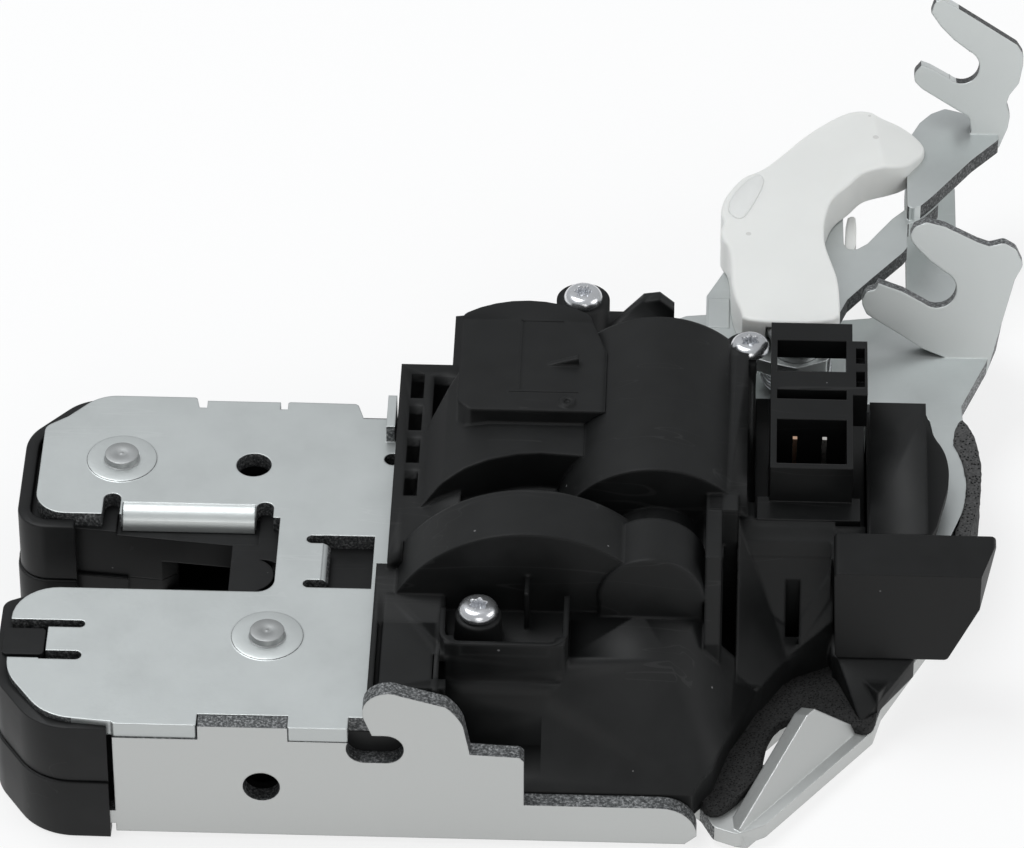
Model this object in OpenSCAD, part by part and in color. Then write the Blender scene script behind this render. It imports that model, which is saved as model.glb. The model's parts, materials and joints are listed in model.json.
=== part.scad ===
// Trunk lid lock with its electric actuator, drawn open, as it waits for the striker.
// Origin: middle of the plate's fixing hole, on the plate's top face. +Z is up, +X runs from the mouth to the motor.

/* [Sheet metal] */
// Thickness of the plate, tray, bracket and lever
sheet = 2.5; // [2:0.1:3]
// Distance from the plate's top face to the tray's underside
lock_depth = 20.5; // [19.5:0.1:22]
// Outer face of the tray's front wall, in front of the fixing hole
front_y = 57; // [56.5:0.1:58]
// Height of the low part of the front wall
low_wall = 6.8; // [5:0.1:9]
// Radius of the fixing hole in the plate
fix_hole_r = 2.6; // [2:0.05:3.3]
// Radius of the fixing hole in the front wall
wall_hole_r = 2.65; // [2:0.05:3.3]
// Radius of the slotted hole's round ends in the tray floor
slot_hole_r = 3.1; // [2.5:0.1:3.2]
// Height of the slanted flange above the tray floor
flange_h = 8; // [5:0.1:10]
// Radius of the lower cable slot, which holds the sleeve
sleeve_slot_r = 2.95; // [2.5:0.05:3.2]
// Radius of the upper cable slot, which holds the cable's end
end_slot_r = 2.7; // [2.3:0.05:3]

/* [Latch] */
// Striker slot, from wall to wall
slot_w = 16; // [15:0.1:17]
// Depth of the striker slot from the middle of the fixing hole
slot_end = -2.2; // [-5:0.1:0]
// Height of the catch's steel
catch_t = 4; // [3:0.1:4.6]
// Thickness of the plastic on the catch, each side
coat_t = 0.6; // [0.4:0.05:0.8]
// Outer radius of the catch's cam
cam_r = 18.5; // [17.5:0.1:19]
// Depth of the catch's rest for the pawl
rest_depth = 3.2; // [2:0.1:4]
// Radius to the tip of the outer arm
hook_r = 29; // [27:0.1:29.3]
// Radius to the tip of the inner arm
horn_r = 26.5; // [24:0.1:27]
// Width of the catch's mouth
mouth_w = 10.6; // [9.5:0.1:11]
// Radius of the shank of the catch and pawl rivets
rivet_r = 4; // [3:0.1:4.5]
// Radius of the flattened rivet heads
rivet_head_r = 2.65; // [2.2:0.05:3]
// Gap between a turning piece and its pin
fit = 0.06; // [0.03:0.01:0.1]
// Wall of the latch case
case_wall = 1.8; // [1.4:0.1:2.2]
// How far the catch turns when it shuts
catch_swing = 55; // [50:1:56]

/* [Actuator] */
// Wall of the actuator cover
cover_wall = 1.8; // [1.4:0.1:2.2]
// Outer radius of the motor hump
motor_hump_r = 14.8; // [14.2:0.1:15.5]
// Radius of the motor can
motor_r = 12.2; // [11:0.1:12.4]
// Length of the motor can
motor_len = 28; // [24:0.5:29]
// Outer radius of the gear hump
gear_hump_r = 21.3; // [20.5:0.1:22]
// Gear teeth
gear_teeth = 40; // [36:1:40]
// Pinion teeth
pinion_teeth = 8; // [8:1:10]
// Tooth module
tooth = 0.68; // [0.6:0.01:0.69]
// Face width of the gear
gear_face = 2.3; // [1.8:0.1:2.3]
// Radius of the gear's hub
hub_r = 2.6; // [2.2:0.1:2.7]
// Rise of the release ramp
ramp_rise = 5.6; // [4:0.1:5.8]
// Radius of the screw heads
screw_head_r = 2.95; // [2.5:0.05:3.2]
// Length of the screws under the head
screw_len = 9; // [6:0.5:12]

/* [Connector] */
// Width of the connector
plug_w = 12; // [11:0.1:13]
// Height of the connector's rim above the plate
plug_z = 10; // [9:0.1:10.6]
// Wall of the connector
plug_wall = 0.9; // [0.7:0.1:1.2]
// Distance between the two contacts
pin_pitch = 4.1; // [3:0.1:5]
// Width of a contact
pin_w = 0.64; // [0.5:0.02:1]

/* [Release lever] */
// Radius of the lever's pivot
pivot_r = 3.6; // [3:0.1:4]
// Radius of the pivot's head
pivot_head_r = 4.6; // [4.2:0.1:5]
// Height of the white handle above the lever
handle_h = 6; // [5:0.1:6.4]
// Extra height of the upper fork above the lever
fork_lift = 0; // [0:0.1:2]

/* [Seals] */
// Thickness of the foam pad on the tray
pad_t = 1.5; // [1:0.1:2.5]
// Thickness of the foam seal
foam_t = 6; // [4:0.5:8]

/* [Hidden] */
$fn = 48;
eps = 0.01;

zinc = "#b9c2c4";
black = "#242626";
dark = "#333536";
white = "#ecece6";
steel = "#9aa0a2";

// Levels, from the plate's top face down
plate_z = -sheet;
floor_bottom = -lock_depth;
floor_top = floor_bottom + sheet;
split_z = -11;
catch_mid = -10.6;
catch_z0 = catch_mid - catch_t / 2;
pawl_z0 = catch_mid - catch_t / 2;
case_roof = plate_z - case_wall;
wall_inner = -front_y + sheet;

// Pivots
catch_at = [4.3, -37.6];
pawl_at = [-19.5, 0.7];
lever_at = [79.7, 30];
motor_at = [59.3, -2.8];
gear_at = [motor_at[0] - (gear_teeth + pinion_teeth) * tooth / 2, motor_at[1]];
hump_at = [41.4, -8];
gear_y = -24.1;
ramp_foot = 1.2;
finger_z = -6.6;
slot_mid = -21.6;
slot_low = slot_mid - slot_w / 2;

// Points of an arc, from one angle to another
function arc(c, r, a0, a1, n = 8) = [for (i = [0:n]) c + r * [cos(a0 + (a1 - a0) * i / n), sin(a0 + (a1 - a0) * i / n)]];
function polar(r, a) = [r * cos(a), r * sin(a)];

// Rounds the outer corners of a flat outline, then its inner ones
module soften(outer, inner = 0) {
    offset(r = -inner) offset(r = inner + outer) offset(delta = -outer) children();
}
module slab(z0, z1) {
    translate([0, 0, z0]) linear_extrude(z1 - z0) children();
}
// A wall drawn in X and Z and standing at y, with its thickness towards +Y
module upright(y, t) {
    translate([0, y + t, 0]) rotate([90, 0, 0]) linear_extrude(t) children();
}
module obround(r, length) {
    for (s = [-1, 1]) translate([s * (length / 2 - r), 0]) circle(r);
    square([length - 2 * r, 2 * r], center = true);
}

// Striker slot, in plan
module striker_slot(grow = 0) {
    offset(delta = grow) polygon(concat([[-60, 10], [-37, -4], [-33.3, -9], [-28, -11.9]],
        [[slot_end, slot_mid + slot_w / 2 - 1]], [[slot_end, slot_low]],
        [[-24, slot_low], [-29.5, slot_low - 1.8], [-33.5, slot_low - 5.5], [-37, -40], [-60, -52]]));
}

// Outline of the latch case, in plan
module case_outline(grow = 0) {
    offset(delta = grow) soften(3) polygon([[-33.6, -3], [-33.6, 6], [-29.5, 12.5], [-23, 14.3], [27, 14.3],
        [27, wall_inner], [-16.8, wall_inner], [-17.2, -56.8], [-25.5, -55.4], [-30.3, -51.6],
        [-33.6, -45], [-34.3, -38], [-34.3, -20]]);
}
module case_plan(grow = 0) {
    difference() {
        case_outline(grow);
        striker_slot(-grow);
    }
}

// Space that the catch sweeps, and the pawl's room beside it
module mechanism_room() {
    intersection() {
        case_outline(-case_wall);
        union() {
            translate(catch_at) circle(hook_r + 0.6);
            translate([-14, -9]) square([60, 22]);
            translate([9, -24]) square([30, 30]);
            translate([-28, -8]) square([20, 20]);
        }
    }
}

wall_hole_at = [4.4, -11.3];
module wall_hole_room() {
    translate([wall_hole_at[0], wall_inner - 1, wall_hole_at[1]]) rotate([-90, 0, 0]) cylinder(r = wall_hole_r + 0.4, h = 3);
}
// Way for the pawl's arm from the latch case into the actuator
module pawl_door() {
    translate([22, -14.5, pawl_z0 - 0.7]) cube([9, 21.5, catch_t + 1.4]);
}

module plate_outline() {
    soften(2.5, 0.6) polygon(concat([[-21.3, -12], [-27.6, -11.6], [-30.4, -7.5], [-31.6, 6.9], [-28.4, 11.2],
        [-21.7, 14.9], [15.6, 14.6], [16.6, 12], [28, 12], [28, -front_y + 0.1], [-16.8, -front_y + 0.1],
        [-23.9, -54.9], [-29.2, -51], [-31.9, -44.5], [-32.4, -35], [-29, -31], [-24, -28.9],
        [1.5, -28.6], [4.5, -26], [4.5, -12], [2, -12]], [[2, -12], [-21, -12]]));
}

module top_plate() {
    hem_x0 = -18.6;
    hem_x1 = 0.9;
    hem_r = 3;
    color(zinc) difference() {
        union() {
            slab(plate_z, 0) difference() {
                plate_outline();
                // Straight edge before the rolled hem, with a round-ended relief at each end
                translate([hem_x0, -13]) square([hem_x1 - hem_x0, 13 - 12 + hem_r]);
                for (x = [-19.8, 2]) translate([x, -8.9]) {
                    circle(1.3);
                    translate([-1.3, -5]) square([2.6, 5]);
                }
                // Window beside the end of the slot, with its two relief slots
                translate([11.2, -26.2]) square([7.6, 10]);
                for (y = [-17.4, -25.4]) translate([11.5, y]) rotate(0) obround(0.9, 5);
                // Clip slots at the lower lobe
                translate([-27, -36.2]) obround(1, 10.6);
                translate([-25, -42.4]) obround(1, 6.4);
                translate([-40, -42.6]) square([13, 6.5]);
                // Notch for the tray's tab
                translate([-4.6, -front_y - 1]) square([13.1, 3.6]);
                // Clearance for the finger of the front wall
                translate([19, -front_y - 1]) square([12, 3.7]);
                // Tab step in the back edge
                translate([-8.4, 14]) square([1, 2]);
                translate([3.6, 14]) square([1, 2]);
            }
            // Rolled hem that guides the striker
            intersection() {
                translate([hem_x0, -12 + hem_r, -hem_r]) rotate([0, 90, 0]) difference() {
                    cylinder(r = hem_r, h = hem_x1 - hem_x0);
                    translate([0, 0, -1]) cylinder(r = hem_r - sheet, h = hem_x1 - hem_x0 + 2);
                }
                translate([hem_x0, -12, -hem_r]) cube([hem_x1 - hem_x0, hem_r, hem_r]);
            }
            // Small lug turned up beside the actuator
            translate([19.2, 6, plate_z]) cube([1.3, 7.4, sheet + 3]);
            // Raised ring round each rivet
            for (p = [[catch_at, 5.2], [pawl_at, 4.8]]) translate([p[0][0], p[0][1], -0.3]) cylinder(r = p[1], h = 0.5);
        }
        cylinder(r = fix_hole_r, h = 20, center = true);
        translate([20.4, 2, 0]) cylinder(r = 1.3, h = 20, center = true);
        for (p = [catch_at, pawl_at]) translate([p[0], p[1], -5]) cylinder(r = rivet_head_r, h = 10);
    }
}

// Profile of the front wall, in X and Z
module front_profile() {
    finger = concat([[20.4, -1.5]], arc([22.6, 3.3], 3.7, 200, 62, 10), arc([24.6, -2], 9, 48, 20, 6), [[34, -4.2]]);
    difference() {
        union() {
            polygon(concat([[-16.5, floor_bottom], [-16.5, plate_z], [-4.4, plate_z], [-4.4, 0], [8.3, 0],
                [8.3, plate_z], [19.5, plate_z]], finger,
                [[41, -4.6], [41.6, -5.3], [41.6, floor_bottom + low_wall], [61, floor_bottom + low_wall]],
                arc([61, floor_bottom + low_wall - 5.2], 5.2, 90, 0, 8), [[64.5, floor_bottom]]));
            translate([-17.7, -19]) square([2, 2.4]);
        }
        translate([20.6, -3.6]) obround(2.6, 8.2);
    }
}

// Plan of the tray floor
module floor_plan() {
    soften(1.5, 1.5) difference() {
        polygon(concat([[-16.5, -front_y], [61, -front_y], [61.6, -52], [64.6, -50.2], [66.8, -52.3], [68.6, -56]],
            [[72, -57.4], [76, -55.2], [91.4, -35], [92.6, -30], [99.5, -16], [101.5, 4], [100, 37],
            [29, 36.5], [28.4, 13.5], [-16.5, 13.5]]));
        striker_slot(0.8);
    }
}

// Flange that stands on the tray's slanted front edge, in its own length and height
flange_from = [73.4, -57.6];
flange_to = [90.6, -35.1];
flange_len = norm(flange_to - flange_from);
flange_lean = 24;
flange_dir = atan2(flange_to[1] - flange_from[1], flange_to[0] - flange_from[0]);

module slanted_flange() {
    translate([flange_from[0], flange_from[1], floor_bottom]) rotate([0, 0, flange_dir]) rotate([-flange_lean, 0, 0])
        upright(0, sheet) polygon([[0, 0], [flange_len, 0], [flange_len, sheet], [0.74 * flange_len, sheet + flange_h],
            [0.68 * flange_len, sheet + flange_h], [0, sheet + 0.8]]);
}

module base_tray() {
    color(zinc) difference() {
        union() {
            slab(floor_bottom, floor_top) floor_plan();
            upright(-front_y, sheet) front_profile();
            slanted_flange();
        }
        // Fixing hole in the front wall
        translate([wall_hole_at[0], -front_y - 1, wall_hole_at[1]]) rotate([-90, 0, 0]) cylinder(r = wall_hole_r, h = sheet + 2);
        slotted_hole(floor_bottom - 1, floor_top + 1, 0);
        for (p = [catch_at, pawl_at]) translate([p[0], p[1], floor_bottom - 1]) cylinder(r = rivet_head_r, h = sheet + 2);
    }
}

slotted_at = [79.9, -37.1];
module slotted_hole(z0, z1, grow) {
    translate([slotted_at[0], slotted_at[1], z0]) rotate([0, 0, flange_dir]) {
        for (s = [-1, 1]) translate([s * 4, 0, 0]) cylinder(r = slot_hole_r + grow, h = z1 - z0);
        translate([-4, -slot_hole_r - grow, 0]) cube([8, 2 * (slot_hole_r + grow), z1 - z0]);
    }
}

// Cable fork in its own plane: a plate with a slot that opens up to the left and widens to its mouth
fork_turn = 148;
module fork(outline, at, r) {
    difference() {
        soften(1.1, 0.8) polygon(outline);
        translate(at) rotate(fork_turn) {
            circle(r);
            polygon([[0.5, -r], [0.5, r], [4, r + 0.2], [8, r + 1.1], [14, r + 4], [14, -r - 4], [6.4, -r - 0.9], [3.4, -r - 0.2]]);
        }
    }
}
lower_slot_at = [100.7, 13.6];
lower_fork_plan = [[103.5, 0], [108.6, 0], [112.4, 15.4], [113.6, 17.8], [112.4, 20.2], [110.6, 21.2], [108.4, 20.6], [106.6, 21.2],
    [101.5, 23.6], [98.9, 24.2], [97, 23.4], [96.4, 22], [96.8, 20.8], [93, 17], [91.5, 13.4], [90.1, 13], [89.4, 11.2], [90.2, 9.4],
    [91.5, 8.6], [99, 4], [102.6, 2.6]];
upper_slot_at = [104.8, 13.4];
upper_fork_plan = [[105.4, 0], [110.8, 0], [112.2, 3.6], [112.5, 5.6], [111.9, 7.7], [112.3, 9], [113.7, 10.9], [114.2, 13.7],
    [114.2, 15.6], [113.2, 17.1], [108.8, 19.8], [103.7, 22.9], [101.5, 24.2], [100.3, 23.8], [99.8, 22.2], [99.6, 19.8],
    [98, 16], [98.6, 13.6], [97.5, 12.3], [97.5, 10.9], [98.7, 9.7], [106.2, 5.2], [106.6, 3]];

bracket_z = -9.5;
bracket_top = bracket_z + sheet;
lower_fork_y = 36;
fork_lean = 20;

module cable_bracket() {
    color(zinc) difference() {
        union() {
            slab(bracket_z, bracket_top) soften(1.5, 1) polygon([[99.5, -8], [102, -6], [105, 3], [105.8, 11],
                [104.9, 19], [104.6, 25.5], [108.5, 36], [110.2, 42],
                [111.3, 49], [111.3, 52], [108, 54.6], [104.4, 56], [104.4, 79], [101.5, 81],
                [98.5, 81], [96.6, 79], [96.6, 50], [91, 46], [72, 43], [70, 40], [70, 25.5], [96, 25.5],
                [99.8, 22], [101, 14], [100.2, 6], [99.3, -1]]);
            // Foot that stands on the tray floor
            upright(34.4, sheet) polygon([[72, floor_top], [99, floor_top], [99, bracket_top], [72, bracket_top]]);
            // Upright fork for the cable's sleeve
            translate([0, lower_fork_y, bracket_z]) rotate([-fork_lean, 0, 0]) upright(0, sheet) {
                fork(lower_fork_plan, lower_slot_at, sleeve_slot_r);
            }
        }
        translate([lever_at[0], lever_at[1], bracket_z - 1]) cylinder(r = pivot_r - 0.6, h = sheet + 2);
    }
}

module latch_case_upper() {
    color(black) difference() {
        slab(split_z, plate_z) case_plan();
        slab(split_z - 1, case_roof) case_plan(-case_wall);
        slab(catch_z0 - 1, -7.4) mechanism_room();
        // Crescent in the roof at the end of the slot
        translate([2.2, slot_mid, case_roof - 1]) difference() {
            cylinder(r = 3.4, h = 10);
            translate([-1.6, 0, -1]) cylinder(r = 3.6, h = 12);
        }
        pawl_door();
        // Groove under the plate's rolled hem, and room behind both fixing holes
        translate([-19.4, -15, plate_z - 0.6]) cube([20.9, 6.2, 2]);
        cylinder(r = fix_hole_r + 0.4, h = 20, center = true);
        wall_hole_room();
        for (p = [catch_at, pawl_at]) translate([p[0], p[1], -20]) cylinder(r = rivet_r + fit, h = 20);
    }
    // Clip tab that fills the plate's cut-out
    color(black) slab(plate_z, -0.4) soften(0.8) polygon([[-33.4, -42.2], [-33.4, -36.6], [-27.4, -36.6], [-27.4, -42.2]]);
}

module latch_case_lower() {
    case_floor = floor_top + case_wall;
    color(black) difference() {
        union() {
            slab(floor_top, split_z) case_plan();
            slab(-21.5, split_z) intersection() {
                case_plan(0.5);
                translate([-60, -70]) square([60 - 17.9, 100]);
            }
        }
        slab(case_floor, split_z + 1) case_plan(-case_wall);
        slab(catch_z0 - coat_t - 0.5, split_z + 1) mechanism_room();
        pawl_door();
        wall_hole_room();
        for (p = [catch_at, pawl_at]) translate([p[0], p[1], -30]) cylinder(r = rivet_r + fit, h = 30);
    }
}

module striker_buffer() {
    color(dark) slab(-17.5, -14.8) soften(0.6) polygon([[slot_end - 3.4, slot_mid - 5], [slot_end - 0.05, slot_mid - 5],
        [slot_end - 0.05, slot_mid + 5], [slot_end - 3.4, slot_mid + 5]]);
}

// Stepped rivet from the tray's underside to the plate's top face
module stepped_rivet(at) {
    color(steel) translate([at[0], at[1], 0]) {
        translate([0, 0, floor_top]) cylinder(r = rivet_r, h = plate_z - floor_top);
        translate([0, 0, floor_bottom]) cylinder(r = rivet_head_r, h = lock_depth + 0.5);
    }
}
module catch_rivet() stepped_rivet(catch_at);
module pawl_rivet() stepped_rivet(pawl_at);

// Catch, drawn shut and turned back by its swing
mouth_a = 110;
mouth_reach = 18.4;
module catch_outline(grow = 0) {
    rest_r = cam_r - rest_depth;
    cam = arc([0, 0], cam_r, -38, 52, 12);
    rest = arc([0, 0], rest_r, 54, 78, 4);
    horn = concat(arc([0, 0], horn_r, 79.5, 92, 3), [polar(22, 95)]);
    hook = concat([polar(26, 127)], arc([0, 0], hook_r, 130, 146, 4), [polar(24, 153), polar(17, 170)]);
    rotate(catch_swing) difference() {
        offset(delta = grow) soften(1) polygon(concat(cam, rest, horn, [polar(15, 105)], hook,
            arc([0, 0], 13.5, 185, 310, 10)));
        rotate(mouth_a) translate([mouth_reach, 0]) {
            circle(mouth_w / 2 - grow);
            translate([0, -mouth_w / 2 + grow]) square([20, mouth_w - 2 * grow]);
        }
    }
}

module catch() {
    color(steel) translate([catch_at[0], catch_at[1], catch_z0]) difference() {
        linear_extrude(catch_t) catch_outline();
        translate([0, 0, -1]) cylinder(r = rivet_r + fit, h = catch_t + 2);
    }
}

module catch_coat() {
    color(black) translate([catch_at[0], catch_at[1], 0]) {
        for (z = [catch_z0 - coat_t, catch_z0 + catch_t]) translate([0, 0, z]) linear_extrude(coat_t) difference() {
            catch_outline(coat_t);
            circle(8);
            coat_bare();
        }
        // Skin round the edges of both arms
        translate([0, 0, catch_z0]) linear_extrude(catch_t) difference() {
            catch_outline(coat_t);
            catch_outline();
            coat_bare();
        }
    }
}
// Part of the catch that stays bare for the pawl
module coat_bare() {
    rotate(catch_swing) polygon([[0, 0], polar(40, -60), polar(40, 0), polar(40, 50), polar(40, 81), polar(22, 86)]);
}

// Pawl: arm from its pivot past the catch's horn, nose down to the cam, a tail for the ramp and a hook for the lever
tail_y = gear_y + gear_face + ramp_foot + 0.65;
module pawl() {
    color(steel) translate([0, 0, pawl_z0]) difference() {
        linear_extrude(catch_t) soften(0.8, 1) polygon([[-26, 5], [-24, -5], [-12, -6.5], [7.5, -7.5], [10.5, -14],
            [11.2, -19.9], [14.6, -20.3], [17.2, -14], [21, -9.8], [34, -12.6], [39, -16], [39.6, tail_y], [46, tail_y],
            [46, -16], [42, -12], [36, -7], [30.4, -3.5], [30.4, 8.6], [37.6, 8.6], [37.6, 12], [28, 12],
            [27.6, -1], [20, -1.5], [-8, 1.5], [-13.5, 6.2], [-19.5, 7.6]]);
        translate([pawl_at[0], pawl_at[1], -1]) cylinder(r = rivet_r + fit, h = catch_t + 2);
    }
}

// Skin over a row of rings that all have the same number of points
module skin(rings) {
    n = len(rings);
    m = len(rings[0]);
    polyhedron([for (r = rings) each r], concat([for (i = [0:n - 2], k = [0:m - 1]) let(j = (k + 1) % m)
        [i * m + k, (i + 1) * m + k, (i + 1) * m + j, i * m + j]], [[for (k = [0:m - 1]) k]],
        [[for (k = [m - 1:-1:0]) (n - 1) * m + k]]), convexity = 6);
}
// Wire coil round the Z axis: mean radius r, wire radius w
module coil(r, w, turns, pitch) {
    skin([for (i = [0:round(turns * 20)]) [for (k = [0:7]) let(a = 18 * i, q = r + w * cos(45 * k))
        [q * cos(a), q * sin(a), pitch * i / 20 + w * sin(45 * k)]]]);
}

module catch_spring() {
    color(steel) translate([catch_at[0], catch_at[1], floor_top + case_wall + 0.5]) coil(6.2, 0.42, 1.75, 0.95);
}
module pawl_spring() {
    color(steel) translate([pawl_at[0], pawl_at[1], -8 + 0.4]) coil(6, 0.5, 2, 1.05);
}

module latch_switch() {
    color(dark) slab(floor_top + case_wall + 0.05, -14) translate([-26, -50]) square([13, 6.5]);
    color(steel) slab(-15.5, -15.1) translate([-13, -48.5]) square([4, 0.8]);
}

// Outer form of the actuator cover; with an inset it is the room inside
slope_foot = floor_bottom + low_wall + 0.2;
cover_front = wall_inner + 0.2;
ridge = [-39.7, -1];
module cover_form(i = 0) {
    difference() {
        union() {
            translate([0, 0, -17.4]) linear_extrude(17.4 + 1 - i) offset(delta = -i) body_plan();
            // Ledge at the left
            translate([20.8 + i, -24 + i, -2]) cube([10 - i, 44.5 - 2 * i, 5 - i]);
            // Raised block at the back left
            translate([0, 0, -4]) linear_extrude(14 - i) offset(delta = -i) soften(2) back_block_plan();
        }
        // Front slope, below a flat strip
        rotate([90, 0, 90]) linear_extrude(200) polygon([[-29.5 + i, 30], [-29.5 + i, ridge[1] - i],
            [ridge[0] + 0.5 * i, ridge[1] - i], [cover_front + i, slope_foot - i], [-80, slope_foot - i], [-80, 30]]);
        // Slope that falls to the right, down to the pad
        translate([76.6, -29, -12 - i]) rotate([0, 0, 67]) rotate([90, 0, 90]) translate([0, 0, -60]) linear_extrude(66)
            polygon([[-40, 0], [i, 0], [12 + i, 14], [12 + i, 40], [-40, 40]]);
    }
    // Inclined panel at the right
    intersection() {
        translate([71.7 + i, 0, 0]) rotate([90, 0, 90]) linear_extrude(18 - 2 * i) polygon([[-10, -17.4],
            [-10, 3.5 - i], [-13.4 + 0.4 * i, 3.5 - i], [-26.4 + i, -12], [-40, -12.5], [-40, -17.4]]);
        translate([0, 0, -20]) linear_extrude(40) offset(delta = -i) polygon([[60, -5], [92, -5], [92, -19.6], [85.9, -20],
            [83.6, -21.1], [78.9, -25.9], [74, -33], [60, -33]]);
    }
    // Motor hump
    translate([motor_at[0], -13.1 + i, motor_at[1]]) rotate([-90, 0, 0]) cylinder(r = motor_hump_r - i, h = 35 - 2 * i);
    translate([motor_at[0], -13.1 + i, -12]) cube([13.1 - i, 35 - 2 * i, 12 + 7.6 - i]);
    // Gear hump
    intersection() {
        translate([hump_at[0], -29.6 + i, hump_at[1]]) rotate([-90, 0, 0]) cylinder(r = gear_hump_r - i, h = 9.9 - 2 * i);
        translate([21.6 + i, -40, -17.4]) cube([36 - 2 * i, 40, 40]);
    }
    // Dome over the pinion
    translate([motor_at[0], -25.6 + i, motor_at[1]]) rotate([-90, 0, 0]) cylinder(r = 7.7 - i, h = 20);
    translate([motor_at[0] - 7.7 + i, -25.6 + i, -17]) cube([15.4 - 2 * i, 14, 17 + motor_at[1]]);
}

module body_plan() {
    polygon([[28.3, -36], [28.3, 34.5], [40, 36.5], [60.4, 36.5], [61.4, 24], [90, 24], [90, 14], [98.7, 14],
        [98.7, -16.6], [86, -19.6], [76.6, -29], [70.6, -42], [68.2, -50.5], [65.4, cover_front],
        [31, cover_front], [31, -46], [28.3, -46]]);
}
module back_block_plan() {
    polygon(concat([[29.8, 2], [29.8, 23.4]], arc([39.6, 12.5], 15, 128, 52, 8), [[49.2, 22.6], [56, 2]]));
}

module leg_foot() {
    polygon([[83.9, -19.6], [89.6, -34.6], [91.2, -33.2], [92.2, -28], [95, -19.6]]);
}

module actuator_cover() {
    color(black) difference() {
        union() {
            difference() {
                cover_form();
                // Step beside the front wall's finger
                translate([30, -60, -12.2]) cube([13.8, 14, 20]);
            }
            // Screw pocket with its rim
            translate([0, 0, -8]) linear_extrude(8 + 5) soften(3) polygon([[29.6, -44], [47, -44], [47, -29.4], [29.6, -29.4]]);
            // Block beside the plate
            translate([20.8, -49.5, 0.05]) cube([9.4, 20, 1.4]);
            // Screw bosses at the back
            translate([47.5, 33.6, -3.4]) cylinder(r = 4, h = 8.8);
            translate([72.6, 22.6, -3.4]) cylinder(r = 4, h = 9);
            // Fin behind the motor
            upright(31.5, 2) polygon([[50.6, 0], [56.6, 7], [59, 7.4], [61.2, 5.4], [61.2, 0]]);
            // Block at the right
            translate([90.4, -16.5, -2]) cube([8.3, 29.5, 5.8]);
        }
        // Room inside
        difference() {
            translate([0, 0, -eps]) cover_form(cover_wall);
            translate([84.5, -40, -20]) cube([20, 21, 30]);
            translate([28, -60, -20]) cube([17, 15.6, 30]);
            // Stud for the gear's axle
            translate([gear_at[0], -30, gear_at[1]]) rotate([-90, 0, 0]) cylinder(r = 3, h = 4.4);
        }
        // Room for the gear
        translate([gear_at[0], gear_y - 0.4, gear_at[1]]) rotate([-90, 0, 0])
            cylinder(r = (gear_teeth / 2 + 1) * tooth + 0.4, h = gear_face + 1.2);
        translate([gear_at[0], gear_y - 1.3, gear_at[1]]) rotate([-90, 0, 0]) cylinder(r = hub_r + 0.3, h = 6.6);
        translate([motor_at[0], gear_y - 0.4, motor_at[1]]) rotate([-90, 0, 0])
            cylinder(r = (pinion_teeth / 2 + 1) * tooth + 0.6, h = 4);
        translate([gear_at[0], -28.6, gear_at[1]]) rotate([-90, 0, 0]) cylinder(r = 1.5, h = 5);
        translate([0, 0, -30]) linear_extrude(30 - 16.75) square(240, center = true);
        // Above the plate and the latch case only a lid is left
        translate([-50, -100, -50]) cube([50 + 28.2, 200, 50.05]);
        // Pocket round the front screw
        translate([0, 0, 1.6]) linear_extrude(10) soften(2.4) polygon([[31, -42.6], [45.6, -42.6], [45.6, -29.9], [31, -29.9]]);
        // Ledge pockets
        for (k = [0:3]) translate([22.4, -9.6 + k * 7.4, 1.2]) cube([2, 5.6, 6]);
        translate([25.8, 5.6, 1.2]) cube([3.4, 12, 6]);
        // Groove in front of the raised block
        translate([33, -1.6, 3]) cube([16, 2.6, 10]);
        // Slots in the right panel
        translate([69.2, -31.5, -12]) cube([2, 18.2, 20]);
        translate([78.4, -24.4, -12]) cube([2.1, 7.4, 10.5]);
        // Place of the connector
        translate([73.6, -14, -7.1]) cube([16.4, 47.2, 32]);
        // Place of the cap
        translate([84.8, -28.3, -10.05]) cube([30, 9.2, 30]);
        // Ways for the pawl and the lever's finger
        translate([27, -14.5, pawl_z0 - 0.7]) cube([5, 33.5, catch_t + 1.4]);
        translate([26, 20, finger_z - 0.5]) cube([41, 22, sheet + 1]);
        // Screw holes
        for (p = screw_spots) translate([p[0], p[1], -4]) cylinder(r = 1.2, h = 20);
        // Room for the screw head beside the motor hump
        translate([screw_spots[1][0], screw_spots[1][1], screw_spots[1][2]]) cylinder(r = screw_head_r + 0.5, h = 12);
    }
    color(black) hull() {
        // Leg at the right, from the cap down to the tray
        translate([0, 0, floor_top + 0.05]) linear_extrude(1) leg_foot();
        translate([0, 0, -11.2]) linear_extrude(1) polygon([[84.9, -19.6], [86, -28], [97, -28], [98.2, -19.6]]);
    }
    // Boss of the front screw
    color(black) translate([screw_spots[2][0], screw_spots[2][1], -0.4]) difference() {
        cylinder(r = 3.3, h = 0.4 + screw_spots[2][2]);
        cylinder(r = 1.2, h = 20);
    }
}

screw_spots = [[47.5, 33.6, 5.4], [72.6, 22.6, 5.6], [34.4, -35.6, 3.6]];
module cover_screws() {
    color(steel) for (p = screw_spots) translate([p[0], p[1], p[2]]) {
        difference() {
            intersection() {
                cylinder(r = screw_head_r, h = 1.7);
                translate([0, 0, -2.9]) sphere(r = 4.7);
            }
            translate([0, 0, 0.8]) cylinder(r = 1, h = 3, $fn = 6);
        }
        translate([0, 0, 0.05 - screw_len / 2]) cylinder(r = 1.15, h = screw_len / 2);
    }
}

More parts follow.
